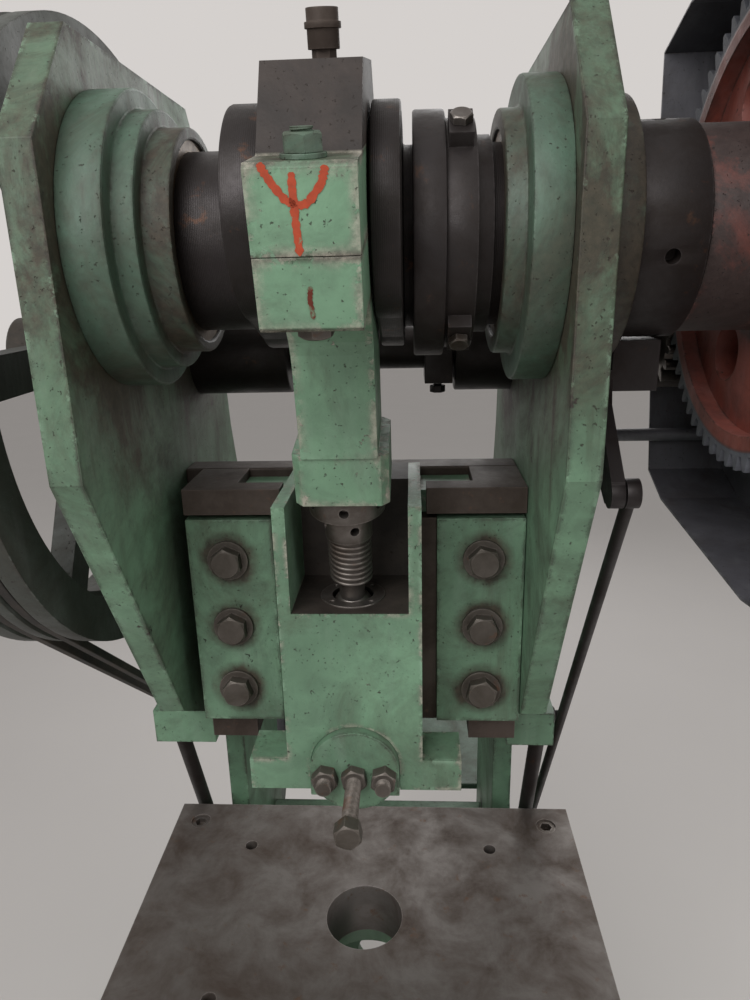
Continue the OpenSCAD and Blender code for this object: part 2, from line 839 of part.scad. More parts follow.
// Angle in degrees between the start of an involute and its point at radius r
function involute(base, r) = sqrt(pow(r / base, 2) - 1) * 180 / PI - acos(base / r);

// Gear outline with n teeth; each flank is thinned by play degrees
module gear_outline(n, play) {
    pitch = gear_m * n / 2;
    base = pitch * cos(20);
    root = pitch - 1.25 * gear_m;
    start = max(base, root + 0.2);
    tip = pitch + gear_m;
    radii = [root, start, start + (tip - start) / 3, start + (tip - start) * 2 / 3, tip];
    flank = [for (r = radii) [r, 90 / n + involute(base, pitch) - involute(base, max(r, base)) - play]];
    polygon([for (i = [0:n - 1], k = [0:9])
        let (f = k < 5 ? flank[k] : flank[9 - k], a = i * 360 / n + (k < 5 ? -f[1] : f[1]))
        f[0] * [cos(a), sin(a)]]);
}

hub_r = 84;
bore_r = stub_r + 8;
gear_rim = 26;
web_sink = 16;
gear_hole_r = 27;
gear_hole_at = 128;

// Crank gear with its hub, web and lightening holes
module crank_gear() {
    color(red) difference() {
        union() {
            translate([gear_x, line_y, crank_z]) rotate([90, 0, 90]) rotate([0, 0, mesh_a])
                linear_extrude(gear_w) gear_outline(gear_n, 0.1);
            xcyl(hub_x, gear_x + 1, hub_r, line_y, crank_z);
        }
        for (x = [gear_x - 1, gear_x + gear_w - web_sink]) difference() {
            xcyl(x, x + web_sink + 1, gear_r - gear_rim, line_y, crank_z);
            xcyl(x - 1, x + web_sink + 2, hub_r, line_y, crank_z);
        }
        for (a = [0:60:300]) xcyl(gear_x, gear_x + gear_w, gear_hole_r,
            line_y + gear_hole_at * cos(a), crank_z + gear_hole_at * sin(a));
        xcyl(hub_x - 1, gear_x + gear_w + 1, bore_r, line_y, crank_z);
    }
}

module gear_bush() {
    color(bronze) difference() {
        xcyl(hub_x, gear_x + gear_w, bore_r, line_y, crank_z);
        xcyl(hub_x - 1, gear_x + gear_w + 1, stub_r + run_c, line_y, crank_z);
    }
}

wheel_x = -340;
hub_out = 84;
pinion_x = [gear_x - 3, gear_x + gear_w + 3];

module back_shaft() {
    color(iron) xcyl(wheel_x - hub_out - 4, pinion_x[1] + 10, back_d / 2, back_y, back_z);
}

module pinion() {
    color(steel) difference() {
        translate([pinion_x[0], back_y, back_z]) rotate([90, 0, 90])
            rotate([0, 0, 180 + mesh_a + 180 / pinion_n]) linear_extrude(pinion_x[1] - pinion_x[0]) gear_outline(pinion_n, 0.5);
        xcyl(pinion_x[0] - 1, pinion_x[1] + 1, back_d / 2, back_y, back_z);
    }
}

// Square set collar on the back shaft, with its screw below
module set_collar() {
    h = back_d / 2 + 14;
    mid = collar_x + collar_w / 2;
    color(iron) difference() {
        union() {
            box([collar_x, back_y - h, back_z - h], [collar_x + collar_w, back_y + h, back_z + h]);
            zcyl(back_z - h - 8, back_z - h + 1, 5, mid, back_y);
            translate([mid, back_y, back_z - h - 16]) hex(17, 9);
        }
        xcyl(collar_x - 1, collar_x + collar_w + 1, back_d / 2, back_y, back_z);
    }
}

// Flywheel, belts and motor

wheel_r = wheel_d / 2;
pulley_r = pulley_d / 2;
belt_off = 15;
groove_t = 13;
groove_top = 8.7;
groove_foot = 5.6;
wheel_hub_r = 44;
spoke_t = 28;
spoke_w = 42;
belt_w = 10.4;
belt_t = 10;
belt_lift = 1;
motor_y = 450;
motor_z = 758;
motor_r = motor_d / 2;
motor_x = left_out + 4;
motor_end = motor_x + motor_l;
motor_foot = 12;
motor_shaft_r = 14;
shelf_t = 12;
shelf_z = motor_z - motor_r - motor_foot;
shelf_y = motor_y + 100;
pulley_w = 64;

// Half section of a V-groove at height x in a rim of radius r
module groove(x, r) {
    translate([0, x]) polygon([[r + 1, -groove_top], [r - groove_t, -groove_foot],
        [r - groove_t, groove_foot], [r + 1, groove_top]]);
}

// Opening between two spokes, from radius r0 out to radius r1
module wheel_window(r0, r1) {
    a0 = asin(spoke_w / 2 / r0);
    a1 = asin(spoke_w / 2 / r1);
    polygon(concat([r0 * [cos(60 - a0), sin(60 - a0)], r0 * [cos(a0), sin(a0)]], arc([0, 0], r1, a1, 60 - a1, 8)));
}

// Spoked flywheel with two V-grooves, its long hub towards the outside
module flywheel() {
    rim_in = wheel_r - rim_t;
    color(blue_grey) translate([wheel_x, back_y, back_z]) rotate([0, 90, 0]) difference() {
        union() {
            rotate_extrude($fn = 96) difference() {
                translate([rim_in, -wheel_w / 2]) square([rim_t, wheel_w]);
                for (x = [-belt_off, belt_off]) groove(x, wheel_r);
            }
            translate([0, 0, -hub_out]) cylinder(r = wheel_hub_r, h = hub_out + wheel_w / 2 + 10);
            translate([0, 0, -spoke_t / 2]) cylinder(r = rim_in + 1, h = spoke_t);
        }
        for (a = [30:60:330]) rotate([0, 0, a]) translate([0, 0, -spoke_t]) linear_extrude(2 * spoke_t)
            wheel_window(wheel_hub_r + 12, rim_in - 8);
        translate([0, 0, -hub_out - 1]) cylinder(d = back_d, h = hub_out + wheel_w);
    }
}

// Loop round two wheels of radius r0 and r1, the second one at d
module belt_loop(r0, r1, d) {
    b = atan2(d[1], d[0]);
    k = acos((r0 - r1) / norm(d));
    polygon(concat(arc([0, 0], r0, b + k, b - k + 360, 60), arc(d, r1, b - k, b + k, 20)));
}

module belts() {
    r0 = wheel_r - groove_t + belt_lift;
    r1 = pulley_r - groove_t + belt_lift;
    d = [motor_y - back_y, motor_z - back_z];
    color(rubber) for (x = [wheel_x - belt_off, wheel_x + belt_off])
        translate([0, back_y, back_z]) side(x - belt_w / 2, x + belt_w / 2) difference() {
            belt_loop(r0 + belt_t, r1 + belt_t, d);
            belt_loop(r0, r1, d);
        }
}

// Finned motor housing on its feet
module motor() {
    color(blue_grey) difference() {
        union() {
            xcyl(motor_x + 12, motor_end - 12, motor_r - 8, motor_y, motor_z);
            for (a = [0:15:345]) if (a < 140 || a > 220) translate([0, motor_y, motor_z]) rotate([a, 0, 0])
                box([motor_x + 24, -2, motor_r - 12], [motor_end - 24, 2, motor_r]);
            xcyl(motor_x, motor_x + 25, motor_r + 2, motor_y, motor_z);
            xcyl(motor_end - 25, motor_end, motor_r + 2, motor_y, motor_z);
            for (x = [motor_x + 50, motor_end - 90]) {
                box([x, motor_y - 80, shelf_z], [x + 40, motor_y + 80, shelf_z + motor_foot]);
                box([x, motor_y - 45, shelf_z], [x + 40, motor_y + 45, motor_z - motor_r / 2]);
            }
        }
        xcyl(motor_x - 1, motor_x + 60, motor_shaft_r + run_c, motor_y, motor_z);
    }
}

// Shelf behind the side plates, with a gusset at each plate
module motor_shelf() {
    color(deep_green) union() {
        box([left_out, rear_y, shelf_z - shelf_t], [right_out, shelf_y, shelf_z]);
        for (x = [left_out, right_out - shelf_t]) side(x, x + shelf_t)
            polygon([[rear_y, shelf_z - shelf_t], [shelf_y - 20, shelf_z - shelf_t], [rear_y, shelf_z - 210]]);
    }
}

module motor_shaft() {
    color(steel) xcyl(wheel_x - pulley_w / 2 - 6, motor_x + 58, motor_shaft_r, motor_y, motor_z);
}

module motor_pulley() {
    color(iron) translate([wheel_x, motor_y, motor_z]) rotate([0, 90, 0]) rotate_extrude() difference() {
        translate([motor_shaft_r, -pulley_w / 2]) square([pulley_r - motor_shaft_r, pulley_w]);
        for (x = [-belt_off, belt_off]) groove(x, pulley_r);
    }
}

// Guard

guard_x = [gear_x + 12, gear_x + gear_w + 42];
guard_t = 2.5;
guard_top = crank_z + 247;
stay_r = 8;
stay_at = [[back_y + 20, crank_z + 120], [back_y + 16, back_z - 117]];
guard_arm = [-190, -110];
guard_points = [[line_y - 226, guard_top], [line_y - 286, crank_z + 206], [line_y - 302, crank_z - 21],
    [line_y - 264, back_z - 139], [line_y - 196, back_z - 197], [line_y - 42, back_z - 215],
    [back_y - 28, back_z - 190], [back_y + 29, back_z - 167], [back_y + 84, back_z + 94],
    [back_y + 108, guard_top - 29], [back_y + 26, guard_top]];

// Sheet cover over the gears, open towards the frame
module gear_guard() {
    color(blue_grey) difference() {
        side(guard_x[0], guard_x[1]) polygon(guard_points);
        side(guard_x[0] - 1, guard_x[1] - guard_t) polygon(inset(guard_points, guard_t));
        for (p = stay_at) xcyl(guard_x[1] - guard_t - 1, guard_x[1] + 1, stay_r, p[0], p[1]);
    }
}

// Bent bracket over the gears and two stays that carry the guard
module guard_mounts() {
    z = guard_top - guard_t;
    color(blue_grey) {
        box([right_out, guard_arm[0], z - 130], [right_out + 8, guard_arm[1], z]);
        box([right_out, guard_arm[0], z - 8], [guard_x[0] + 40, guard_arm[1], z]);
        for (y = [guard_arm[0] + 20, guard_arm[1] - 20])
            translate([right_out + 8, y, z - 100]) rotate([0, 90, 0]) hex(24, 10);
        for (p = stay_at) {
            xcyl(right_out, guard_x[1] + 12, stay_r, p[0], p[1]);
            for (x = [guard_x[1] - guard_t - 9, guard_x[1]])
                translate([x, p[0], p[1]]) rotate([0, 90, 0]) hex(24, 9);
        }
    }
}

// Foot control

trip_pin_r = 9;
trip_cap = 3;
trip_y = line_y + 90;
trip_z = crank_z - 164;
fork_y = -279;
fork_z = 1420;
lever_x = [right_out + 22, right_out + 34];
rod_x = lever_x[1] + 7.5;
eye_r = 13;
eye_pin_r = 5;
eye_t = 12;
rocker_y = 210;
rocker_z = 690;
rocker_l = 66;
hook_y = rocker_y - rocker_l;
rocker_x = [right_out + 6, right_out + 18];
low_rod_x = rocker_x[1] + 6;
low_eye_t = 8;
rod_run = [hook_y - fork_y, rocker_z - fork_z];
rod_lean = atan(-rod_run[0] / rod_run[1]);
treadle_y = 260;
treadle_z = 200;
treadle_shaft_r = 12;
spring_y = 90;
spring_top = treadle_z + 190;
stop_y = 180;
stop_r = 6;

// Bracket of the trip lever, the rocker's pin, the spring's stud and the treadle's stop
module trip_bracket() {
    color(iron) union() {
        side(right_out, right_out + 10) polygon([[trip_y - 55, trip_z - 50], [trip_y + 50, trip_z - 50],
            [trip_y + 50, trip_z + 30], [trip_y - 55, trip_z + 30]]);
        xcyl(right_out + 9, lever_x[0] - 0.5, 17, trip_y, trip_z);
        xcyl(right_out + 9, lever_x[1] + 1, trip_pin_r, trip_y, trip_z);
        xcyl(lever_x[1] + 0.5, lever_x[1] + 0.5 + trip_cap, 14, trip_y, trip_z);
        xcyl(right_in, rocker_x[1] + 1, trip_pin_r, rocker_y, rocker_z);
        xcyl(rocker_x[1] + 0.5, rocker_x[1] + 0.5 + trip_cap, 14, rocker_y, rocker_z);
        xcyl(right_out, low_rod_x + 7, eye_pin_r, spring_y, spring_top);
        xcyl(right_out, rocker_x[1], stop_r, stop_y, treadle_z + 13.6 + stop_r);
    }
}

// Trip lever: its block stands under the clutch collar, its front end takes the trip rod
module trip_lever() {
    top = crank_z - clutch_r - 2;
    color(iron) difference() {
        union() {
            side(lever_x[0], lever_x[1]) polygon([[trip_y + 14, trip_z - 16], [trip_y + 12, trip_z + 18],
                [line_y + 18, trip_z + 30], [line_y + 18, top - 34], [line_y - 18, top - 34],
                [line_y - 24, trip_z + 18], [fork_y - 8, fork_z + 12], [fork_y - 10, fork_z - 10],
                [fork_y + 10, fork_z - 12], [line_y, trip_z - 26]]);
            box([lever_x[0], line_y - 18, top - 45], [clutch_x[0] + 45, line_y + 18, top - 26]);
            box([clutch_x[0] + 4, line_y - 18, top - 27], [clutch_x[0] + 45, line_y + 18, top]);
            xcyl(lever_x[0], lever_x[1], 20, trip_y, trip_z);
            xcyl(lever_x[0], lever_x[1], eye_r, fork_y, fork_z);
            xcyl(lever_x[1] - 1, rod_x + eye_t / 2 + 2, eye_pin_r, fork_y, fork_z);
        }
        xcyl(lever_x[0] - 1, lever_x[1] + 1, trip_pin_r + run_c, trip_y, trip_z);
    }
}

// Leaning rod from the trip lever down to the rocker, with an eye at each end
module trip_rod() {
    color(iron) difference() {
        union() {
            xcyl(rod_x - eye_t / 2, rod_x + eye_t / 2, eye_r, fork_y, fork_z);
            xcyl(rod_x - eye_t / 2, rod_x + eye_t / 2, eye_r, hook_y, rocker_z);
            translate([rod_x, hook_y, rocker_z]) rotate([rod_lean, 0, 0])
                cylinder(d = trip_d, h = norm(rod_run));
        }
        xcyl(rod_x - eye_t, rod_x + eye_t, eye_pin_r + eye_c, fork_y, fork_z);
        xcyl(rod_x - eye_t, rod_x + eye_t, eye_pin_r + run_c, hook_y, rocker_z);
    }
}

// Rocker on the right side plate; its pin carries both rods
module rocker() {
    color(iron) difference() {
        union() {
            side(rocker_x[0], rocker_x[1]) polygon([[rocker_y, rocker_z - 18], [rocker_y, rocker_z + 18],
                [hook_y, rocker_z + 12], [hook_y, rocker_z - 12]]);
            xcyl(right_out + 0.5, rocker_x[1], 18, rocker_y, rocker_z);
            xcyl(rocker_x[0], rocker_x[1], 12, hook_y, rocker_z);
            xcyl(rocker_x[1] - 1, rod_x + eye_t / 2 + 2, eye_pin_r, hook_y, rocker_z);
        }
        xcyl(right_out, rocker_x[1] + 1, trip_pin_r + run_c, rocker_y, rocker_z);
    }
}

// Upright rod from the rocker down to the treadle's outer arm
module lower_rod() {
    x = [low_rod_x - low_eye_t / 2, low_rod_x + low_eye_t / 2];
    color(iron) difference() {
        union() {
            zcyl(treadle_z, rocker_z, low_eye_t / 2, low_rod_x, hook_y);
            for (z = [treadle_z, rocker_z]) xcyl(x[0], x[1], eye_r, hook_y, z);
        }
        xcyl(x[0] - 1, x[1] + 1, eye_pin_r + eye_c, hook_y, treadle_z);
        xcyl(x[0] - 1, x[1] + 1, eye_pin_r + run_c, hook_y, rocker_z);
    }
}

arm_t = 12;
arm_h = 36;
pad_z = 140;
pad_d = 90;
pad_t = 8;
inner_arms = [left_in + 48, right_in - 60];

// Treadle: cross shaft, two inner arms with the pad, and the outer arm for the lower rod
module treadle() {
    pad_y = treadle_y - treadle_l;
    pad_x = [plate_shift - pad_w / 2, plate_shift + pad_w / 2];
    color(iron) union() {
        xcyl(left_out - 10, rocker_x[1] + 6, treadle_shaft_r, treadle_y, treadle_z);
        for (x = inner_arms) {
            xcyl(x - 4, x + arm_t + 4, treadle_shaft_r + 10, treadle_y, treadle_z);
            side(x, x + arm_t) polygon([[treadle_y, treadle_z - arm_h / 2], [treadle_y, treadle_z + arm_h / 2],
                [pad_y + pad_d, pad_z + arm_h], [pad_y - pad_d / 2 + 6, pad_z - 1],
                [pad_y + pad_d / 2, pad_z - 12]]);
        }
        box([pad_x[0], pad_y - pad_d / 2, pad_z - 1], [pad_x[1], pad_y + pad_d / 2, pad_z - 1 + pad_t]);
        box([pad_x[0], pad_y - pad_d / 2, pad_z - 26], [pad_x[1], pad_y - pad_d / 2 + pad_t, pad_z]);
        side(rocker_x[0], rocker_x[1]) polygon([[treadle_y, treadle_z - 16], [treadle_y, treadle_z + 16],
            [spring_y, treadle_z + 10], [spring_y, treadle_z - 10]]);
        xcyl(right_out + 0.5, rocker_x[1], treadle_shaft_r + 8, treadle_y, treadle_z);
        xcyl(rocker_x[0], rocker_x[1], 11, spring_y, treadle_z);
        for (y = [hook_y, spring_y])
            xcyl(rocker_x[1] - 1, low_rod_x + low_eye_t / 2 + 3, eye_pin_r, y, treadle_z);
    }
}

spring_r = 11;
wire_r = 1.8;
spring_turns = 12;
spring_steps = 12;
wire_sides = 6;
spring_end = 26;
hook_r = eye_pin_r + wire_r + 0.2;

// Coil spring with an eye at each end that lifts the treadle
module return_spring() {
    z0 = treadle_z + spring_end;
    z1 = spring_top - spring_end;
    n = spring_turns * spring_steps;
    s = wire_sides;
    points = [for (i = [0:n], k = [0:s - 1])
        let (a = i * 360 / spring_steps, r = spring_r + wire_r * cos(k * 360 / s))
        [r * cos(a), r * sin(a), z0 + (z1 - z0) * i / n + wire_r * sin(k * 360 / s)]];
    walls = [for (i = [0:n - 1], k = [0:s - 1]) let (j = (k + 1) % s)
        [i * s + k, i * s + j, (i + 1) * s + j, (i + 1) * s + k]];
    ends = [[for (k = [s - 1:-1:0]) k], [for (k = [0:s - 1]) n * s + k]];
    color(steel) translate([low_rod_x, spring_y, 0]) {
        polyhedron(points, concat(walls, ends));
        for (z = [z0, z1]) translate([0, 0, z]) rotate([0, 90, 0]) cylinder(r = wire_r, h = spring_r, $fn = 8);
        translate([0, 0, treadle_z + hook_r]) cylinder(r = wire_r, h = spring_end - hook_r, $fn = 8);
        translate([0, 0, z1]) cylinder(r = wire_r, h = spring_end - hook_r, $fn = 8);
        for (z = [treadle_z, spring_top]) translate([0, 0, z]) rotate([0, 90, 0])
            rotate_extrude($fn = 24) translate([hook_r, 0]) circle(r = wire_r, $fn = 8);
    }
}

side_plate_left();
side_plate_right();
rear_webs();
feet();
guide_back();
guide_cheeks();
gib_plate_left();
gib_plate_right();
gib_bolts();
gib_strips();
bed_plate();
bolster();
bolster_screws();
tie_lugs();
tie_rods();
tie_nuts();
crank_bearing_left();
crank_bearing_right();
crank_bushes();
back_sleeves();
crankshaft();
stop_ring();
clamp_ring();
clamp_bolts();
clutch_collar();
crank_end_nut();
rod_body();
rod_cap();
rod_liner();
cap_bolts();
oil_cup();
adjusting_screw();
lock_nut();
ram();
ball_seat();
seat_nut();
shank_cap();
shank_studs();
shank_screw();
crank_gear();
gear_bush();
back_shaft();
pinion();
set_collar();
flywheel();
belts();
motor();
motor_shelf();
motor_shaft();
motor_pulley();
gear_guard();
guard_mounts();
trip_bracket();
trip_lever();
trip_rod();
rocker();
lower_rod();
treadle();
return_spring();
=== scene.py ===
"""Geared C-frame stamping press: its painted plates, oiled crank, threads, nuts and spring."""

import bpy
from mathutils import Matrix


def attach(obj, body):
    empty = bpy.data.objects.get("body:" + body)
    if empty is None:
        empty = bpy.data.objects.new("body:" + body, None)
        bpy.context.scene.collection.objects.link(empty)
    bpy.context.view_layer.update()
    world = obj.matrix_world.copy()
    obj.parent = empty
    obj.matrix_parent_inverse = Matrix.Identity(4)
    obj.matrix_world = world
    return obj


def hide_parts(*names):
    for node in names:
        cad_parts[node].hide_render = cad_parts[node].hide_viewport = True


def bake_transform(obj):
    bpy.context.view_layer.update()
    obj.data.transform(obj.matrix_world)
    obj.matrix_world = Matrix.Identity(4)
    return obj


bl_info = {
    "name": "Stamping press",
    "version": (1, 0, 0),
    "blender": (4, 5, 0),
    "location": "3D View > Sidebar > Press",
    "description": "Dresses the packed stamping press with worn paint, oiled iron and fine fasteners",
    "category": "Object",
}

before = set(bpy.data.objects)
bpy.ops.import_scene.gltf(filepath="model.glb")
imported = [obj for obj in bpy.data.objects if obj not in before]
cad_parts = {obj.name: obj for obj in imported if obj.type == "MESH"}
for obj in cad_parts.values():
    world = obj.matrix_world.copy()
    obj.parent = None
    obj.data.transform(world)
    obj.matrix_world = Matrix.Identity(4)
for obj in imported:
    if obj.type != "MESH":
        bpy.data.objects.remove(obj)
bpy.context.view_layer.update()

import math
from math import cos, pi, radians, sin

import bmesh
import bpy
from bpy.props import FloatProperty, FloatVectorProperty, IntProperty, PointerProperty
from mathutils import Matrix, Vector

SHAFT_Y, SHAFT_Z = -0.204, 1.634
BACK_Y, BACK_Z = 0.02023, 1.519
PIN = Vector((0, -0.2886935, 1.6489337))
ROD_TILT = radians(12.8098)
BETWEEN_PLATES = ((-0.2015, -1, 0.8), (0.1815, 1, 2))
RIGHT_OF_PLATES = ((0.209, -1, 1), (1, 1, 2))
RAM_POCKET = ((-0.0572, -0.2488, 1.2880), (0.0572, 0, 2))
GIB_FACE_Y = -0.170
GIB_BOLT_X = 0.136
GIB_BOLT_Z = (1.161, 1.238, 1.316)
SHANK_FACE_Y, SHANK_Z = -0.260, 1.113
CAP_BOLT_OUT, CAP_TOP, BLOCK_BELOW = 0.127, 0.052, -0.046
TIE_NUTS_X, TIE_NUT_Y, TIE_NUT_Z = (-0.280, 0.240), -0.025, 1.032
ON_ROD = Matrix.Translation(PIN) @ Matrix.Rotation(ROD_TILT, 4, "X")


# Values that a user would change

class PressPaint(bpy.types.PropertyGroup):
    """Colours of the paints and of what shows through them."""
    mint: FloatVectorProperty(name="Mint", description="Paint of the plates, ram and rod",
                              default=(0.150, 0.268, 0.170), subtype="COLOR", min=0, max=1)
    moss: FloatVectorProperty(name="Moss", description="Duller paint of the bearings and feet",
                              default=(0.085, 0.150, 0.105), subtype="COLOR", min=0, max=1)
    red: FloatVectorProperty(name="Red", description="Paint of the crank gear's web",
                             default=(0.215, 0.052, 0.036), subtype="COLOR", min=0, max=1)
    slate: FloatVectorProperty(name="Slate", description="Paint of the guard, flywheel and motor",
                               default=(0.105, 0.102, 0.116), subtype="COLOR", min=0, max=1)
    mark: FloatVectorProperty(name="Brush mark", description="Red of the brushed mark on the rod's cap",
                              default=(0.480, 0.070, 0.026), subtype="COLOR", min=0, max=1)
    filler: FloatVectorProperty(name="Filler", description="Pale filler under chipped paint",
                                default=(0.420, 0.390, 0.320), subtype="COLOR", min=0, max=1)
    iron: FloatVectorProperty(name="Bare iron", description="Dark iron under chipped paint",
                              default=(0.045, 0.034, 0.028), subtype="COLOR", min=0, max=1)
    grime: FloatVectorProperty(name="Grime", description="Brown oil and dust on every surface",
                               default=(0.060, 0.042, 0.028), subtype="COLOR", min=0, max=1)


class PressSizes(bpy.types.PropertyGroup):
    """Sizes of the pieces that this file makes."""
    edge: FloatProperty(name="Edge rounding", description="Width of the worn rounding on plate edges",
                        default=0.0022, unit="LENGTH", min=0.0002, max=0.004)
    thread_pitch: FloatProperty(name="Thread pitch", description="Pitch of the adjusting screw",
                                default=0.006, unit="LENGTH", min=0.002, max=0.008)
    stud_pitch: FloatProperty(name="Stud pitch", description="Pitch of the studs and set screws",
                              default=0.002, unit="LENGTH", min=0.001, max=0.003)
    spring_turns: IntProperty(name="Spring turns", description="Turns of the treadle's spring",
                              default=26, min=10, max=40)
    spring_wire: FloatProperty(name="Spring wire", description="Thickness of the spring's wire",
                               default=0.0034, unit="LENGTH", min=0.002, max=0.004)


class PressStage(bpy.types.PropertyGroup):
    """Light, floor and background."""
    floor: FloatVectorProperty(name="Floor", description="Colour of the floor",
                               default=(0.62, 0.59, 0.57), subtype="COLOR", min=0, max=1)
    key_light: FloatProperty(name="Key light", description="Power of the large soft lamp",
                             default=54.0, unit="POWER", min=0, max=500)
    fill_light: FloatProperty(name="Fill light", description="Power of the lamp from the right",
                              default=24.0, unit="POWER", min=0, max=500)
    ambient: FloatProperty(name="Ambient", description="Strength of the even light from all round",
                           default=0.36, min=0, max=2)


# Materials

class Surface:
    """A material under construction, with short ways to add the nodes that wear needs."""

    def __init__(self, name):
        self.material = bpy.data.materials.new(name)
        self.material.use_nodes = True
        self.tree = self.material.node_tree
        self.shader = self.tree.nodes["Principled BSDF"]
        self.place = self.node("ShaderNodeTexCoord").outputs["Object"]

    def node(self, kind, inputs=None, **props):
        made = self.tree.nodes.new(kind)
        for key, value in props.items():
            setattr(made, key, value)
        for key, value in (inputs or {}).items():
            self.feed(made.inputs[key], value)
        return made

    def feed(self, socket, value):
        if isinstance(value, bpy.types.NodeSocket):
            self.tree.links.new(value, socket)
        elif socket.type == "RGBA" and len(value) == 3:
            socket.default_value = (*value, 1)
        else:
            socket.default_value = value

    def scaled(self, stretch):
        return self.node("ShaderNodeMapping", {"Vector": self.place, "Scale": stretch}).outputs[0]

    def noise(self, scale, detail=5, rough=0.6, stretch=None, distort=0.0):
        place = self.scaled(stretch) if stretch else self.place
        return self.node("ShaderNodeTexNoise", {"Vector": place, "Scale": scale, "Detail": detail,
                                                "Roughness": rough, "Distortion": distort}).outputs["Fac"]

    def between(self, value, low, high, to_low=0.0, to_high=1.0):
        return self.node("ShaderNodeMapRange", {"Value": value, "From Min": low, "From Max": high,
                                                "To Min": to_low, "To Max": to_high}).outputs[0]

    def math(self, operation, a, b=0.0, clamp=False):
        return self.node("ShaderNodeMath", {0: a, 1: b}, operation=operation, use_clamp=clamp).outputs[0]

    def vector(self, operation, a, b=(0, 0, 0)):
        return self.node("ShaderNodeVectorMath", {0: a, 1: b}, operation=operation).outputs["Vector"]

    def measure(self, operation, a, b):
        """The one number that a vector operation gives, such as a distance or a dot product."""
        return self.node("ShaderNodeVectorMath", {0: a, 1: b}, operation=operation).outputs["Value"]

    def mix(self, fac, a, b):
        return self.node("ShaderNodeMix", {0: fac, 6: a, 7: b}, data_type="RGBA").outputs[2]

    def edge(self, radius):
        """1 on the edges and 0 on the flats, over about that radius."""
        soft = self.node("ShaderNodeBevel", {"Radius": radius}, samples=4).outputs[0]
        flat = self.node("ShaderNodeNewGeometry").outputs["Normal"]
        return self.between(self.measure("DOT_PRODUCT", soft, flat), 0.985, 0.80)

    def near_line(self, y, z, inner, outer):
        """1 within inner of a line along X at y and z, fading to 0 at outer."""
        flat = self.vector("MULTIPLY", self.place, (0, 1, 1))
        return self.between(self.measure("DISTANCE", flat, (0, y, z)), outer, inner)

    def around_bolts(self, across, levels, inner, outer):
        """1 within inner of the bolts along Y at X of plus and minus across, fading to 0 at outer."""
        flat = self.vector("MULTIPLY", self.vector("ABSOLUTE", self.place), (1, 0, 1))
        found = 0.0
        for z in levels:
            far = self.measure("DISTANCE", flat, (across, 0, z))
            found = self.math("MAXIMUM", found, self.between(far, outer, inner))
        return found

    def inside(self, low, high):
        """1 between the two corners of a box, 0 outside it."""
        parts = self.node("ShaderNodeSeparateXYZ", {0: self.place}).outputs
        found = 1.0
        for part, a, b in zip(parts, low, high):
            for side, limit in (("GREATER_THAN", a), ("LESS_THAN", b)):
                found = self.math("MULTIPLY", found, self.math(side, part, limit))
        return found

    def above(self, direction, level):
        """1 where the place lies further along a direction than level."""
        blur = 0.0008
        along = self.measure("DOT_PRODUCT", self.place, direction)
        return self.between(along, level - blur, level + blur)

    def seams(self, direction, levels, width):
        """1 on the seams at those levels along a direction, fading to 0 at that width from them."""
        along = self.measure("DOT_PRODUCT", self.place, direction)
        found = 0.0
        for level in levels:
            off = self.math("ABSOLUTE", self.math("SUBTRACT", along, level))
            found = self.math("MAXIMUM", found, self.between(off, width, width * 0.25))
        return found

    def bump(self, height, distance):
        inputs = {"Height": height, "Distance": distance, "Strength": 1.0}
        return self.node("ShaderNodeBump", inputs).outputs[0]

    def done(self, colour, rough, normal, metal=0.0):
        values = {"Base Color": colour, "Roughness": rough, "Normal": normal, "Metallic": metal}
        for key, value in values.items():
            self.feed(self.shader.inputs[key], value)
        return self.material


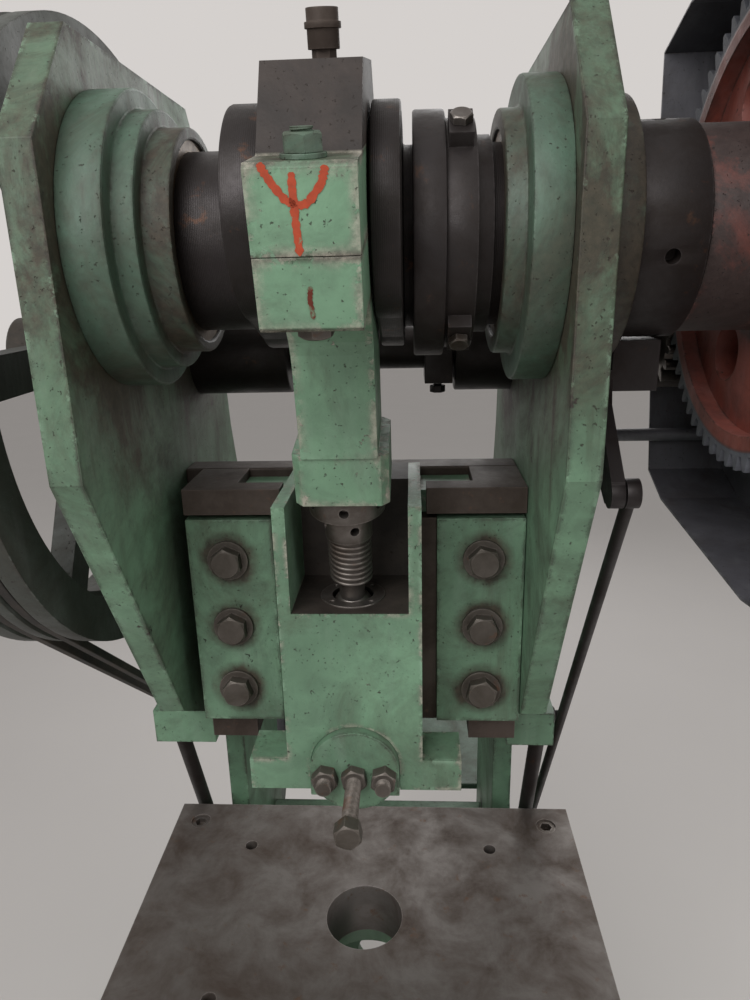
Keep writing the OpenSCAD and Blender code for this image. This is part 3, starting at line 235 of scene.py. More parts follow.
def worn_paint(name, paint, grime, chip, wear=0.5, dirt=0.5, gloss=0.42, oil=(), edge_width=0.005,
               oil_and_shade=None, bare=None, bare_colour=None):
    """Brushed gloss paint: uneven tone, run-down grime, chips on the edges and dark pits.

    foul and bare take the surface and give a mask: foul of thick oil and of painted shade, bare of where no
    paint is left.
    """
    s = Surface(name)
    cloud = s.noise(4.0, 6, 0.62)
    blotch = s.noise(21.0, 6, 0.70, distort=0.5)
    brush = s.noise(30.0, 4, 0.6, stretch=(1, 1, 0.16))
    tone = s.mix(s.between(cloud, 0.34, 0.66), [c * 0.66 for c in paint], [min(c * 1.22, 1) for c in paint])
    tone = s.mix(s.between(blotch, 0.46, 0.62, 0, 0.42), tone, [c * 0.52 + 0.012 for c in paint])
    chalk = [c * 0.82 + 0.10 for c in paint]
    tone = s.mix(s.between(brush, 0.52, 0.74, 0, 0.40), tone, chalk)

    film = s.noise(7.0, 8, 0.74, distort=0.7)
    soil_and_shade = s.between(film, 0.60 - 0.22 * dirt, 0.72 - 0.10 * dirt, 0, 0.26 + 0.52 * dirt)
    streak = s.noise(11.0, 6, 0.70, stretch=(1, 1, 0.16), distort=0.3)
    runs = s.between(streak, 0.62 - 0.13 * dirt, 0.74 - 0.10 * dirt, 0, 0.30 + 0.50 * dirt)
    soil_and_shade = s.math("MAXIMUM", soil_and_shade, runs)
    for y, z, inner, outer in oil:
        near = s.math("MULTIPLY", s.near_line(y, z, inner, outer), s.between(film, 0.30, 0.52, 0.25, 1.0))
        soil_and_shade = s.math("ADD", soil_and_shade, near, clamp=True)
    # Thick oil, and on the plates' finish also painted shade over what lies between the plates.
    if oil_and_shade:
        thick = s.math("MULTIPLY", oil_and_shade(s), s.between(blotch, 0.34, 0.60, 0.45, 1.0))
        soil_and_shade = s.math("ADD", soil_and_shade, thick, clamp=True)
    edge = s.edge(edge_width)
    grit = s.noise(120.0, 6, 0.7)
    soil_and_shade = s.math("ADD", soil_and_shade, s.math("MULTIPLY", edge, s.between(grit, 0.42, 0.60, 0, 0.40)), clamp=True)
    soot = s.mix(s.between(grit, 0.35, 0.65), grime, [c * 0.45 for c in grime])
    colour = s.mix(s.math("MULTIPLY", soil_and_shade, 0.94), tone, soot)

    # Paler edges: paint rubbed thin along them, with a painted highlight.
    patchy = s.between(s.noise(34.0, 5, 0.7), 0.53, 0.57, 0, 0.70)
    rubbed_and_highlit = s.math("MULTIPLY", s.math("POWER", edge, 2.0), patchy)
    colour = s.mix(rubbed_and_highlit, colour, [min(c * 1.25 + 0.09, 1) for c in paint])
    ragged = s.noise(46.0, 7, 0.74)
    knocked = s.math("MULTIPLY", edge, s.between(blotch, 0.42, 0.60, 0.25, 1.0))
    torn = s.math("ADD", s.math("MULTIPLY", knocked, 0.20 + 0.16 * wear), ragged)
    chips = s.between(torn, 0.715 - 0.07 * wear, 0.732 - 0.07 * wear)
    rust = s.mix(s.between(grit, 0.40, 0.60), chip, [c * 0.42 for c in chip])
    if bare:
        unpainted = bare(s)
        stained = s.mix(s.between(blotch, 0.38, 0.62), bare_colour, [c * 0.50 for c in bare_colour])
        chips = s.math("MAXIMUM", chips, unpainted)
        rust = s.mix(unpainted, rust, stained)
    colour = s.mix(chips, colour, rust)
    pits = s.between(s.noise(270.0, 4, 0.6), 0.655, 0.70)
    colour = s.mix(s.math("MULTIPLY", pits, 0.80), colour, [c * 0.5 for c in grime])

    rough = s.math("ADD", s.between(cloud, 0.2, 0.8, gloss - 0.08, gloss + 0.10),
                   s.math("MULTIPLY", s.math("MAXIMUM", chips, s.between(film, 0.4, 0.7)), 0.20))
    waves = s.math("ADD", s.math("MULTIPLY", brush, 0.6), s.noise(70.0, 5, 0.6))
    sunk = s.math("ADD", chips, s.math("MULTIPLY", pits, 0.7))
    height = s.math("SUBTRACT", s.math("MULTIPLY", waves, 0.8), sunk)
    return s.done(colour, rough, s.bump(height, 0.0007))


def oiled_iron(name, base, film, wear_and_sheen=0.55, metal=0.75, rough=0.42, turned=False, spots=None):
    """Bare iron or steel under an uneven brown film of oil and dust."""
    s = Surface(name)
    cloud = s.noise(16.0, 7, 0.65, distort=0.3)
    grit = s.noise(160.0, 6, 0.7)
    colour = s.mix(s.between(cloud, 0.38, 0.66), base, film)
    # Lighter edges: metal worn bright, with a painted highlight along them.
    edge = s.edge(0.0025)
    worn_and_sheen_colour = [min(c * 2.6 + 0.03, 1) for c in base]
    colour = s.mix(s.math("MULTIPLY", edge, s.between(grit, 0.36, 0.60, 0, wear_and_sheen)), colour, worn_and_sheen_colour)
    if spots:
        rust = s.between(s.noise(38.0, 8, 0.72), 0.60, 0.68)
        colour = s.mix(s.math("MULTIPLY", rust, 0.8), colour, spots)
    height = s.math("ADD", grit, s.math("MULTIPLY", cloud, 0.6))
    if turned:
        inputs = {"Vector": s.place, "Scale": 220.0, "Distortion": 1.2, "Detail": 2.0}
        rings = s.node("ShaderNodeTexWave", inputs, bands_direction="X").outputs["Fac"]
        height = s.math("ADD", height, s.math("MULTIPLY", rings, 0.18))
    roughness = s.math("ADD", s.between(cloud, 0.25, 0.75, rough - 0.10, rough + 0.16),
                       s.between(grit, 0.3, 0.7, -0.04, 0.06))
    return s.done(colour, roughness, s.bump(height, 0.00022), metal)


def old_rubber(name):
    """Dusty belt rubber with fine cross cracks."""
    s = Surface(name)
    dust = s.noise(26.0, 6, 0.65)
    fine = s.noise(420.0, 4, 0.6)
    colour = s.mix(s.between(dust, 0.4, 0.7), (0.018, 0.015, 0.013), (0.075, 0.060, 0.048))
    return s.done(colour, s.between(dust, 0.3, 0.7, 0.62, 0.86), s.bump(fine, 0.0002))


def finishes():
    """Makes every finish once and returns them by name."""
    p = bpy.context.scene.press_paint
    grime, iron, filler = tuple(p.grime), tuple(p.iron), tuple(p.filler)
    mint, moss = tuple(p.mint), tuple(p.moss)
    crank_line, back_line = (SHAFT_Y, SHAFT_Z), (BACK_Y, BACK_Z)
    rod_axis = tuple(ON_ROD.to_3x3() @ Vector((0, 0, 1)))
    pin_level = Vector(rod_axis).dot(PIN)
    crown = pin_level + 0.0528
    rod_seams = [pin_level + height for height in (BLOCK_BELOW, 0.0, CAP_TOP)]
    return {
        "plate": worn_paint("mint_plate", mint, grime, iron, 0.70, 0.52, 0.46,
                            ((*crank_line, 0.09, 0.25), (*back_line, 0.05, 0.13)), 0.010,
                            # Between the plates the parts darken a little: painted shade of the throat, with
                            # some oil.
                            oil_and_shade=lambda s: s.math("MULTIPLY", s.inside(*BETWEEN_PLATES), 0.20)),
        "lug": worn_paint("mint_lug", [c * 1.05 for c in mint], grime, iron, 0.65, 0.40, 0.44, (), 0.005),
        "rod": worn_paint("mint_rod", [c * 1.08 for c in mint], grime, filler, 0.95, 0.36, 0.40,
                          ((PIN.y, PIN.z, 0.050, 0.085),), 0.016,
                          oil_and_shade=lambda s: s.seams(rod_axis, rod_seams, 0.0042),
                          bare=lambda s: s.above(rod_axis, crown), bare_colour=(0.034, 0.024, 0.020)),
        "ram": worn_paint("mint_ram", mint, grime, filler, 0.62, 0.50, 0.42, (), 0.011,
                          bare=lambda s: s.inside(*RAM_POCKET),
                          bare_colour=(0.042, 0.032, 0.026)),
        "gib": worn_paint("mint_gib", [c * 0.86 for c in mint], grime, iron, 0.75, 0.58, 0.46, (), 0.009,
                          oil_and_shade=lambda s: s.around_bolts(GIB_BOLT_X, GIB_BOLT_Z, 0.023, 0.034)),
        "bearing": worn_paint("moss_bearing", moss, grime, iron, 0.60, 0.80, 0.46,
                              ((*crank_line, 0.086, 0.106),), 0.005,
                              oil_and_shade=lambda s: s.inside(*RIGHT_OF_PLATES)),
        "gear": worn_paint("red_gear", tuple(p.red), (0.030, 0.022, 0.020), iron, 0.70, 0.62, 0.50,
                           (), 0.004, oil_and_shade=lambda s: s.near_line(*crank_line, 0.094, 0.100),
                           bare=lambda s: s.math("SUBTRACT", 1.0, s.near_line(*crank_line, 0.190, 0.193)),
                           bare_colour=(0.125, 0.130, 0.150)),
        "slate": worn_paint("slate_paint", tuple(p.slate), grime, iron, 0.55, 0.50, 0.46, (), 0.004),
        "wheel": worn_paint("dirty_wheel", (0.052, 0.060, 0.050), [c * 0.6 for c in grime], iron,
                            0.60, 0.80, 0.52, ((*back_line, 0.04, 0.12),), 0.004),
        "iron": oiled_iron("oiled_iron", (0.036, 0.031, 0.031), (0.021, 0.015, 0.013), 0.50, 0.55, 0.45,
                           spots=(0.070, 0.036, 0.022)),
        "journal": oiled_iron("turned_journal", (0.030, 0.025, 0.025), (0.017, 0.013, 0.011), 0.5, 0.55, 0.44,
                              turned=True, spots=(0.085, 0.038, 0.020)),
        "brown": oiled_iron("brown_iron", (0.070, 0.052, 0.043), (0.036, 0.024, 0.017), 0.45, 0.35, 0.58,
                            spots=(0.115, 0.062, 0.040)),
        "bolt": oiled_iron("dirty_bolt", (0.105, 0.090, 0.078), (0.052, 0.042, 0.032), 0.55, 0.45, 0.50,
                           spots=(0.110, 0.058, 0.036)),
        "steel": oiled_iron("worn_steel", (0.170, 0.155, 0.143), (0.066, 0.050, 0.040), 0.6, 0.80, 0.38,
                            spots=(0.120, 0.060, 0.032)),
        "bolster": oiled_iron("scored_bolster", (0.150, 0.135, 0.125), (0.070, 0.052, 0.042), 0.6, 0.60, 0.48,
                              spots=(0.110, 0.062, 0.038)),
        "bronze": oiled_iron("dull_bronze", (0.120, 0.078, 0.040), (0.035, 0.022, 0.014), 0.5, 0.80, 0.40),
        "rubber": old_rubber("belt_rubber"),
    }


FINISH = {}

NODE_FINISH = {
    "plate": ["side_plate_left", "side_plate_right", "rear_webs"],
    "lug": ["tie_lugs", "bed_plate"],
    "rod": ["rod_body", "rod_cap"],
    "ram": ["ram"],
    "gib": ["gib_plate_left", "gib_plate_right", "shank_cap"],
    "bearing": ["crank_bearing_left", "crank_bearing_right", "feet", "motor_shelf"],
    "gear": ["crank_gear"],
    "slate": ["gear_guard", "guard_mounts", "motor"],
    "wheel": ["flywheel"],
    "iron": ["stop_ring", "clamp_ring", "back_sleeves", "back_shaft", "set_collar", "motor_pulley",
             "trip_bracket", "trip_lever", "trip_rod", "rocker", "lower_rod", "treadle", "tie_rods",
             "clutch_collar"],
    "journal": ["crankshaft"],
    "brown": ["guide_back", "guide_cheeks", "gib_strips", "oil_cup"],
    "steel": ["lock_nut", "seat_nut", "pinion", "motor_shaft", "bolster_screws", "crank_end_nut"],
    "bolster": ["bolster"],
    "bronze": ["crank_bushes", "rod_liner", "ball_seat", "gear_bush"],
    "rubber": ["belts"],
}

SHARP_KEPT = {"gear_bush", "rod_liner", "ball_seat", "crank_bushes"}
FINE_EDGES = {"crank_gear": 0.0006, "pinion": 0.0006, "gear_guard": 0.0008, "guard_mounts": 0.001,
              "lock_nut": 0.0012, "seat_nut": 0.0008, "oil_cup": 0.0006, "trip_rod": 0.001,
              "lower_rod": 0.001,
              "trip_lever": 0.0014, "rocker": 0.0012, "trip_bracket": 0.0012, "bolster_screws": 0.0008,
              "belts": 0.001, "motor": 0.0012, "motor_shaft": 0.0008, "motor_pulley": 0.001,
              "clutch_collar": 0.0016, "clamp_ring": 0.0016, "gib_strips": 0.001}


def finish_node(node, finish, width):
    """Gives a CAD node its finish and, by modifiers alone, softly rounded edges."""
    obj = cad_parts[node]
    obj.data.materials.clear()
    obj.data.materials.append(FINISH[finish])
    if node in SHARP_KEPT:
        return
    weld = obj.modifiers.new("Join", "WELD")
    weld.merge_threshold = 0.00002
    flat = obj.modifiers.new("Flats", "DECIMATE")
    flat.decimate_type = "DISSOLVE"
    flat.angle_limit = radians(0.5)
    bevel = obj.modifiers.new("Worn edges", "BEVEL")
    bevel.limit_method = "ANGLE"
    bevel.angle_limit = radians(35)
    bevel.width = FINE_EDGES.get(node, width)
    bevel.segments = 2
    bevel.use_clamp_overlap = True


def dress_nodes(finish_names):
    width = bpy.context.scene.press_sizes.edge
    for finish in finish_names:
        for node in NODE_FINISH[finish]:
            finish_node(node, finish, width)


# Mesh work

def link(name, mesh, finish=None):
    obj = bpy.data.objects.new(name, mesh)
    bpy.context.collection.objects.link(obj)
    if finish:
        mesh.materials.clear()
        mesh.materials.append(FINISH[finish])
    return obj


def smooth(mesh, angle=35):
    mesh.polygons.foreach_set("use_smooth", [True] * len(mesh.polygons))
    mesh.set_sharp_from_angle(angle=radians(angle))


def skin(bm, rings):
    """Faces between each ring of vertices and the next."""
    for a, b in zip(rings, rings[1:]):
        for i in range(len(a)):
            j = (i + 1) % len(a)
            bm.faces.new((a[i], a[j], b[j], b[i]))


def capped_skin(bm, rings):
    skin(bm, rings)
    bm.faces.new(rings[0][::-1])
    bm.faces.new(rings[-1])


def lathe(profile, sides):
    """Turns (radius, height) pairs about Z."""
    bm = bmesh.new()
    turns = [2 * pi * i / sides for i in range(sides)]
    rings = [[bm.verts.new((r * cos(a), r * sin(a), h)) for a in turns] for r, h in profile]
    skin(bm, rings)
    bmesh.ops.recalc_face_normals(bm, faces=bm.faces)
    return bm


def threaded(radius, pitch, low, high, sides):
    """Threaded bar along Z: one helical ridge whose height fades out at both ends."""
    depth = 0.62
    bm = bmesh.new()
    steps = 6
    rows = int((high - low) / pitch * steps)
    grid = []
    for k in range(rows + 1):
        z = low + (high - low) * k / rows
        fade = min(1, (z - low) / pitch, (high - z) / pitch)
        ring = []
        for i in range(sides):
            turn = i / sides
            wave = abs(((z / pitch - turn) % 1) * 2 - 1)
            r = radius - depth * pitch * (1 - max(0, min(1, wave * 1.5 - 0.25))) * fade
            ring.append(bm.verts.new((r * cos(2 * pi * turn), r * sin(2 * pi * turn), z)))
        grid.append(ring)
    capped_skin(bm, grid)
    bmesh.ops.recalc_face_normals(bm, faces=bm.faces)
    return bm


def hex_head(across, height, low=0.0):
    """Hexagon head or nut whose upper corners carry the round chamfer of turned bar."""
    sides = 48
    top = across * 0.47
    bm = bmesh.new()
    rings = [[], [], [], []]
    for i in range(sides):
        a = 2 * pi * i / sides
        r = across / 2 / cos((a + pi / 6) % (pi / 3) - pi / 6)
        drop = max(0.0, r - top) * 0.55
        levels = ((r - 0.0004, 0), (r, 0.0004), (r, height - 0.0004 - drop), (min(r, top), height))
        for ring, (reach, h) in zip(rings, levels):
            ring.append(bm.verts.new((reach * cos(a), reach * sin(a), low + h)))
    capped_skin(bm, rings)
    return bm


def washer(inner, outer, thick):
    """Flat washer with worn edges."""
    c = 0.0004
    outline = [(inner, 0), (outer - c, 0), (outer, c), (outer, thick - c), (outer - c, thick), (inner, thick)]
    return lathe(outline, 40)


def tube(path, radius):
    """Round wire along a path of points, closed at both ends."""
    turns = [2 * pi * i / 8 for i in range(8)]
    bm = bmesh.new()
    rings = []
    side = None
    for k, p in enumerate(path):
        ahead = (path[min(k + 1, len(path) - 1)] - path[max(k - 1, 0)]).normalized()
        if side is None:
            side = ahead.orthogonal().normalized()
        side = (side - ahead * side.dot(ahead)).normalized()
        up = ahead.cross(side)
        rings.append([bm.verts.new(p + radius * (cos(a) * side + sin(a) * up)) for a in turns])
    capped_skin(bm, rings)
    return bm


def joined(parts):
    """One mesh from several bmesh parts."""
    bm = bmesh.new()
    for part in parts:
        mesh = bpy.data.meshes.new("part")
        part.to_mesh(mesh)
        bm.from_mesh(mesh)
        bpy.data.meshes.remove(mesh)
        part.free()
    mesh = bpy.data.meshes.new("joined")
    bm.to_mesh(mesh)
    bm.free()
    smooth(mesh)
    return mesh


# Geometry Nodes

def tree_with(name, sockets):
    tree = bpy.data.node_groups.new(name, "GeometryNodeTree")
    for label, kind in sockets:
        tree.interface.new_socket(label, in_out="INPUT", socket_type=kind)
    tree.interface.new_socket("Geometry", in_out="OUTPUT", socket_type="NodeSocketGeometry")
    return tree, tree.nodes.new("NodeGroupInput"), tree.nodes.new("NodeGroupOutput")


def fastener_tree():
    """Sets one fastener on every point, turned by the point's own 'turn' attribute."""
    tree, start, end = tree_with("Fasteners on points", [
        ("Geometry", "NodeSocketGeometry"), ("Fastener", "NodeSocketObject"),
        ("Finish", "NodeSocketMaterial")])
    info = tree.nodes.new("GeometryNodeObjectInfo")
    turn = tree.nodes.new("GeometryNodeInputNamedAttribute")
    turn.data_type = "FLOAT_VECTOR"
    turn.inputs["Name"].default_value = "turn"
    to_rotation = tree.nodes.new("FunctionNodeEulerToRotation")
    place = tree.nodes.new("GeometryNodeInstanceOnPoints")
    real = tree.nodes.new("GeometryNodeRealizeInstances")
    paint = tree.nodes.new("GeometryNodeSetMaterial")
    for a, b in ((start.outputs["Geometry"], place.inputs["Points"]),
                 (start.outputs["Fastener"], info.inputs["Object"]),
                 (info.outputs["Geometry"], place.inputs["Instance"]),
                 (turn.outputs["Attribute"], to_rotation.inputs[0]),
                 (to_rotation.outputs[0], place.inputs["Rotation"]),
                 (place.outputs[0], real.inputs[0]),
                 (real.outputs[0], paint.inputs["Geometry"]),
                 (start.outputs["Finish"], paint.inputs["Material"]),
                 (paint.outputs[0], end.inputs[0])):
        tree.links.new(a, b)
    return tree


def spring_tree():
    """A coil with the turns, radius, length and wire that its inputs give."""
    tree, start, end = tree_with("Coil spring", [
        ("Turns", "NodeSocketFloat"), ("Radius", "NodeSocketFloat"), ("Length", "NodeSocketFloat"),
        ("Wire", "NodeSocketFloat"), ("Steps", "NodeSocketInt"), ("Finish", "NodeSocketMaterial")])
    coil = tree.nodes.new("GeometryNodeCurveSpiral")
    wire = tree.nodes.new("GeometryNodeCurvePrimitiveCircle")
    wire.inputs["Resolution"].default_value = 8
    sweep = tree.nodes.new("GeometryNodeCurveToMesh")
    sweep.inputs["Fill Caps"].default_value = True
    real = tree.nodes.new("GeometryNodeRealizeInstances")
    paint = tree.nodes.new("GeometryNodeSetMaterial")
    for a, b in ((start.outputs["Turns"], coil.inputs["Rotations"]),
                 (start.outputs["Radius"], coil.inputs["Start Radius"]),
                 (start.outputs["Radius"], coil.inputs["End Radius"]),
                 (start.outputs["Length"], coil.inputs["Height"]),
                 (start.outputs["Steps"], coil.inputs["Resolution"]),
                 (start.outputs["Wire"], wire.inputs["Radius"]),
                 (coil.outputs["Curve"], sweep.inputs["Curve"]),
                 (wire.outputs["Curve"], sweep.inputs["Profile Curve"]),
                 (sweep.outputs["Mesh"], real.inputs[0]),
                 (real.outputs[0], paint.inputs["Geometry"]),
                 (start.outputs["Finish"], paint.inputs["Material"]),
                 (paint.outputs[0], end.inputs[0])):
        tree.links.new(a, b)
    return tree


def grown(obj, tree, values, name):
    """Runs the tree on obj with the named values and returns the plain mesh that it makes."""
    modifier = obj.modifiers.new("Grow", "NODES")
    modifier.node_group = tree
    for item in tree.interface.items_tree:
        if item.in_out == "INPUT" and item.name in values:
            modifier[item.identifier] = values[item.name]
    depsgraph = bpy.context.evaluated_depsgraph_get()
    mesh = bpy.data.meshes.new_from_object(obj.evaluated_get(depsgraph))
    mesh.name = name
    obj.modifiers.remove(modifier)
    bpy.data.objects.remove(obj)
    return bpy.data.objects.new(name, mesh)


def set_on_points(name, fastener, places, finish, body, replaced):
    """Puts a fastener mesh at every (point, turn) and lets the result ride on a body."""
    points = bpy.data.meshes.new(name + "_points")
    points.from_pydata([p for p, _ in places], [], [])
    turns = points.attributes.new("turn", "FLOAT_VECTOR", "POINT")
    for i, (_, turn) in enumerate(places):
        turns.data[i].vector = turn
    pattern = link(name + "_pattern", fastener)
    holder = link(name + "_holder", points)
    piece = grown(holder, fastener_tree(), {"Fastener": pattern, "Finish": FINISH[finish]}, name)
    bpy.context.collection.objects.link(piece)
    bpy.data.objects.remove(pattern)
    smooth(piece.data)
    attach(piece, body)
    if replaced:
        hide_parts(*replaced)
    return piece


# Operators

class PressOperator:
    bl_options = {"REGISTER", "UNDO"}


class PRESS_OT_finishes(PressOperator, bpy.types.Operator):
    """Make the paints, metals and rubber"""
    bl_idname = "press.finishes"
    bl_label = "Make finishes"

    def execute(self, context):
        FINISH.update(finishes())
        return {"FINISHED"}


class PRESS_OT_frame(PressOperator, bpy.types.Operator):
    """Paint the side plates, webs, bed, bearings and feet"""
    bl_idname = "press.dress_frame"
    bl_label = "Frame"

    def execute(self, context):
        dress_nodes(["plate", "lug", "bearing", "bolster"])
        return {"FINISHED"}


UP = Vector((0, 0, 1))
TO_FRONT = (0, -1, 0)


def facing(direction, spin=0.0):
    """Euler turn that points a fastener's +Z along direction, after a spin about its own axis."""
    turn = UP.rotation_difference(Vector(direction)).to_matrix() @ Matrix.Rotation(spin, 3, "Z")
    return tuple(turn.to_euler())


class PRESS_OT_slide(PressOperator, bpy.types.Operator):
    """Finish the ram, gibs and guides, with their bolts"""
    bl_idname = "press.dress_slide"
    bl_label = "Ram and gibs"

    def execute(self, context):
        dress_nodes(["ram", "gib", "brown"])
        bolt = joined([washer(0.010, 0.022, 0.004), hex_head(0.030, 0.0125, 0.004)])
        spins = (0.35, 1.1, 0.1, 0.8, 0.45, 1.3)
        spots = [(x, z) for x in (-GIB_BOLT_X, GIB_BOLT_X) for z in GIB_BOLT_Z]
        places = [((x, GIB_FACE_Y, z), facing(TO_FRONT, spin)) for (x, z), spin in zip(spots, spins)]
        set_on_points("gib_bolt_heads", bolt, places, "bolt", "frame", ["gib_bolts"])
        return {"FINISHED"}


class PRESS_OT_clamp(PressOperator, bpy.types.Operator):
    """Make the nuts, studs and long set screw of the shank's clamp"""
    bl_idname = "press.shank_clamp"
    bl_label = "Shank clamp"

    def execute(self, context):
        pitch = context.scene.press_sizes.stud_pitch
        stud = joined([hex_head(0.024, 0.013), threaded(0.008, pitch, 0.008, 0.022, 24)])
        places = [((x, SHANK_FACE_Y, SHANK_Z), facing(TO_FRONT, spin))
                  for x, spin in ((-0.030, 0.3), (0.030, 0.9))]
        set_on_points("shank_stud_nuts", stud, places, "bolt", "slide", ["shank_studs"])
        screw = joined([hex_head(0.024, 0.011), threaded(0.008, pitch, 0.0, 0.073, 24),
                        hex_head(0.024, 0.016, 0.072)])
        places = [((0, SHANK_FACE_Y, SHANK_Z), facing(TO_FRONT, 0.2))]
        set_on_points("shank_set_screw", screw, places, "bolt", "slide", ["shank_screw"])
        return {"FINISHED"}


class PRESS_OT_crank(PressOperator, bpy.types.Operator):
    """Finish the crankshaft, its rings and bushes, with the clamp ring's bolts"""
    bl_idname = "press.dress_crank"
    bl_label = "Crank"

    def execute(self, context):
        dress_nodes(["journal", "iron", "bronze", "steel"])
        bolt = joined([hex_head(0.016, 0.0065)])
        places = []
        middle, reach, lean = Vector((0.1015, SHAFT_Y, SHAFT_Z)), 0.104, radians(52)
        for way in (-1, 1):
            out = Vector((0, -cos(lean), -way * sin(lean)))
            places.append((tuple(middle + reach * out), facing(out, 0.3)))
        set_on_points("clamp_bolt_heads", bolt, places, "steel", "crank", ["clamp_bolts"])
        tie = joined([hex_head(0.019, 0.010), threaded(0.006, 0.0015, 0.008, 0.017, 20)])
        places = [((x, TIE_NUT_Y, TIE_NUT_Z), facing((way, 0, 0), spin))
                  for x, way, spin in zip(TIE_NUTS_X, (-1, 1), (0.5, 0.2))]
        set_on_points("tie_bolt_nuts", tie, places, "iron", "frame", ["tie_nuts"])
        return {"FINISHED"}


# The brushed mark's strokes: places across and along the rod, in metres from the pin
STROKES = (
    ((-0.0227, 0.0520), (-0.0200, 0.0470), (-0.0160, 0.0405), (-0.0093, 0.0322), (-0.0030, 0.0290)),
    ((-0.0045, 0.0468), (-0.0047, 0.0390), (-0.0045, 0.0290), (-0.0042, 0.0185), (-0.0037, 0.0095),
     (-0.0033, 0.0010)),
    ((0.0149, 0.0499), (0.0138, 0.0455), (0.0122, 0.0405), (0.0038, 0.0303), (-0.0028, 0.0285)),
)
FAINT_STROKE = ((0.0015, -0.0170), (0.0005, -0.0250), (0.0020, -0.0370))


def brushed(bm, points, y, width, seed):
    """One brush stroke: a thin film with ragged edges, on the plane at that y."""
    steps = 26
    rows = []
    for k in range(steps + 1):
        t = k / steps * (len(points) - 1)
        i = min(int(t), len(points) - 2)
        f = t - i
        f = f * f * (3 - 2 * f) * 0.4 + f * 0.6
        x = points[i][0] * (1 - f) + points[i + 1][0] * f
        z = points[i][1] * (1 - f) + points[i + 1][1] * f
        dx, dz = points[i + 1][0] - points[i][0], points[i + 1][1] - points[i][1]
        reach = math.hypot(dx, dz)
        nx, nz = -dz / reach, dx / reach
        ends = min(1.0, (k + 0.9) / 2.2, (steps - k + 0.7) / 2.6)
        rag = 1 + 0.16 * sin(k * 2.1 + seed) + 0.10 * sin(k * 4.7 + 2 * seed)
        w = width / 2 * ends * rag
        rows.append([(x + nx * w * u, y, z + nz * w * u) for u in (-1, -0.4, 0.4, 1)])
    film = 0.00025
    front = [[bm.verts.new((p[0], p[1] - film, p[2])) for p in row] for row in rows]
    back = [[bm.verts.new((p[0], p[1] + film, p[2])) for p in row] for row in rows]
    for k in range(steps):
        for i in range(3):
            bm.faces.new((front[k][i], front[k][i + 1], front[k + 1][i + 1], front[k + 1][i]))
            bm.faces.new((back[k][i], back[k + 1][i], back[k + 1][i + 1], back[k][i + 1]))
        bm.faces.new((front[k][0], front[k + 1][0], back[k + 1][0], back[k][0]))
        bm.faces.new((front[k][3], back[k][3], back[k + 1][3], front[k + 1][3]))
    for k in (0, steps):
        for i in range(3):
            bm.faces.new((front[k][i], back[k][i], back[k][i + 1], front[k][i + 1]))


def mark_paint(name, colour, thin):
    """Thin red brush paint that lets some of the green through."""
    s = Surface(name)
    green = tuple(bpy.context.scene.press_paint.mint)
    drag = s.noise(170.0, 6, 0.7)
    lost = s.between(s.noise(90.0, 7, 0.7), 0.60 - thin, 0.66 - thin * 0.6)
    tone = s.mix(s.between(drag, 0.3, 0.7), colour, [c * 0.72 for c in colour])
    return s.done(s.mix(lost, tone, green), 0.46, s.bump(drag, 0.0001))


class PRESS_OT_rod(PressOperator, bpy.types.Operator):
    """Finish the connecting rod: its cap's nuts, its painted mark and the adjusting screw's thread"""
    bl_idname = "press.dress_rod"
    bl_label = "Connecting rod"

    def execute(self, context):
        sizes = context.scene.press_sizes
        dress_nodes(["rod"])
        finish_node("adjusting_screw", "steel", 0.0012)
        turn = ON_ROD.to_3x3()
        nut = joined([washer(0.007, 0.014, 0.003), hex_head(0.022, 0.011, 0.003),
                      threaded(0.007, sizes.stud_pitch, 0.010, 0.0165, 22)])
        places = [(tuple(ON_ROD @ Vector((0, u, CAP_TOP))), facing(turn @ UP, spin))
                  for u, spin in ((-CAP_BOLT_OUT, 0.2), (CAP_BOLT_OUT, 0.9))]
        set_on_points("cap_bolt_nuts", nut, places, "bearing", "rod", ["cap_bolts"])
        head = joined([hex_head(0.022, 0.009)])
        places = [(tuple(ON_ROD @ Vector((0, u, BLOCK_BELOW))), facing(turn @ -UP, 0.1))
                  for u in (-CAP_BOLT_OUT, CAP_BOLT_OUT)]
        set_on_points("cap_bolt_heads", head, places, "bolt", "rod", [])

        FINISH["mark"] = mark_paint("brush_mark", tuple(context.scene.press_paint.mark), 0.0)
        FINISH["faint"] = mark_paint("faint_mark", [c * 0.28 for c in context.scene.press_paint.mark], 0.13)
        for name, finish, strokes, width in (("trident_mark", "mark", STROKES, 0.0046),
                                             ("faint_mark", "faint", (FAINT_STROKE,), 0.0030)):
            bm = bmesh.new()
            for seed, stroke in enumerate(strokes):
                brushed(bm, stroke, -0.1502, width, seed)
            bmesh.ops.recalc_face_normals(bm, faces=bm.faces)
            bm.transform(ON_ROD)
            mesh = bpy.data.meshes.new(name)
            bm.to_mesh(mesh)
            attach(link(name, mesh, finish), "rod")

        length = 0.049
        holder = link("thread_holder", bpy.data.meshes.new("thread_holder"))
        coil = {"Turns": length / sizes.thread_pitch, "Radius": 0.0196, "Length": length, "Steps": 36,
                "Wire": sizes.thread_pitch * 0.33, "Finish": FINISH["steel"]}
        thread = grown(holder, spring_tree(), coil, "screw_thread")
        thread.data.transform(ON_ROD @ Matrix.Translation((0, 0, -0.340)))
        bpy.context.collection.objects.link(thread)
        smooth(thread.data, 60)
        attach(thread, "rod")
        return {"FINISHED"}


class PRESS_OT_drive(PressOperator, bpy.types.Operator):
    """Finish the gears, guard, flywheel, motor and belts"""
    bl_idname = "press.dress_drive"
    bl_label = "Gears and drive"

    def execute(self, context):
        dress_nodes(["gear", "slate", "wheel", "rubber"])
        return {"FINISHED"}


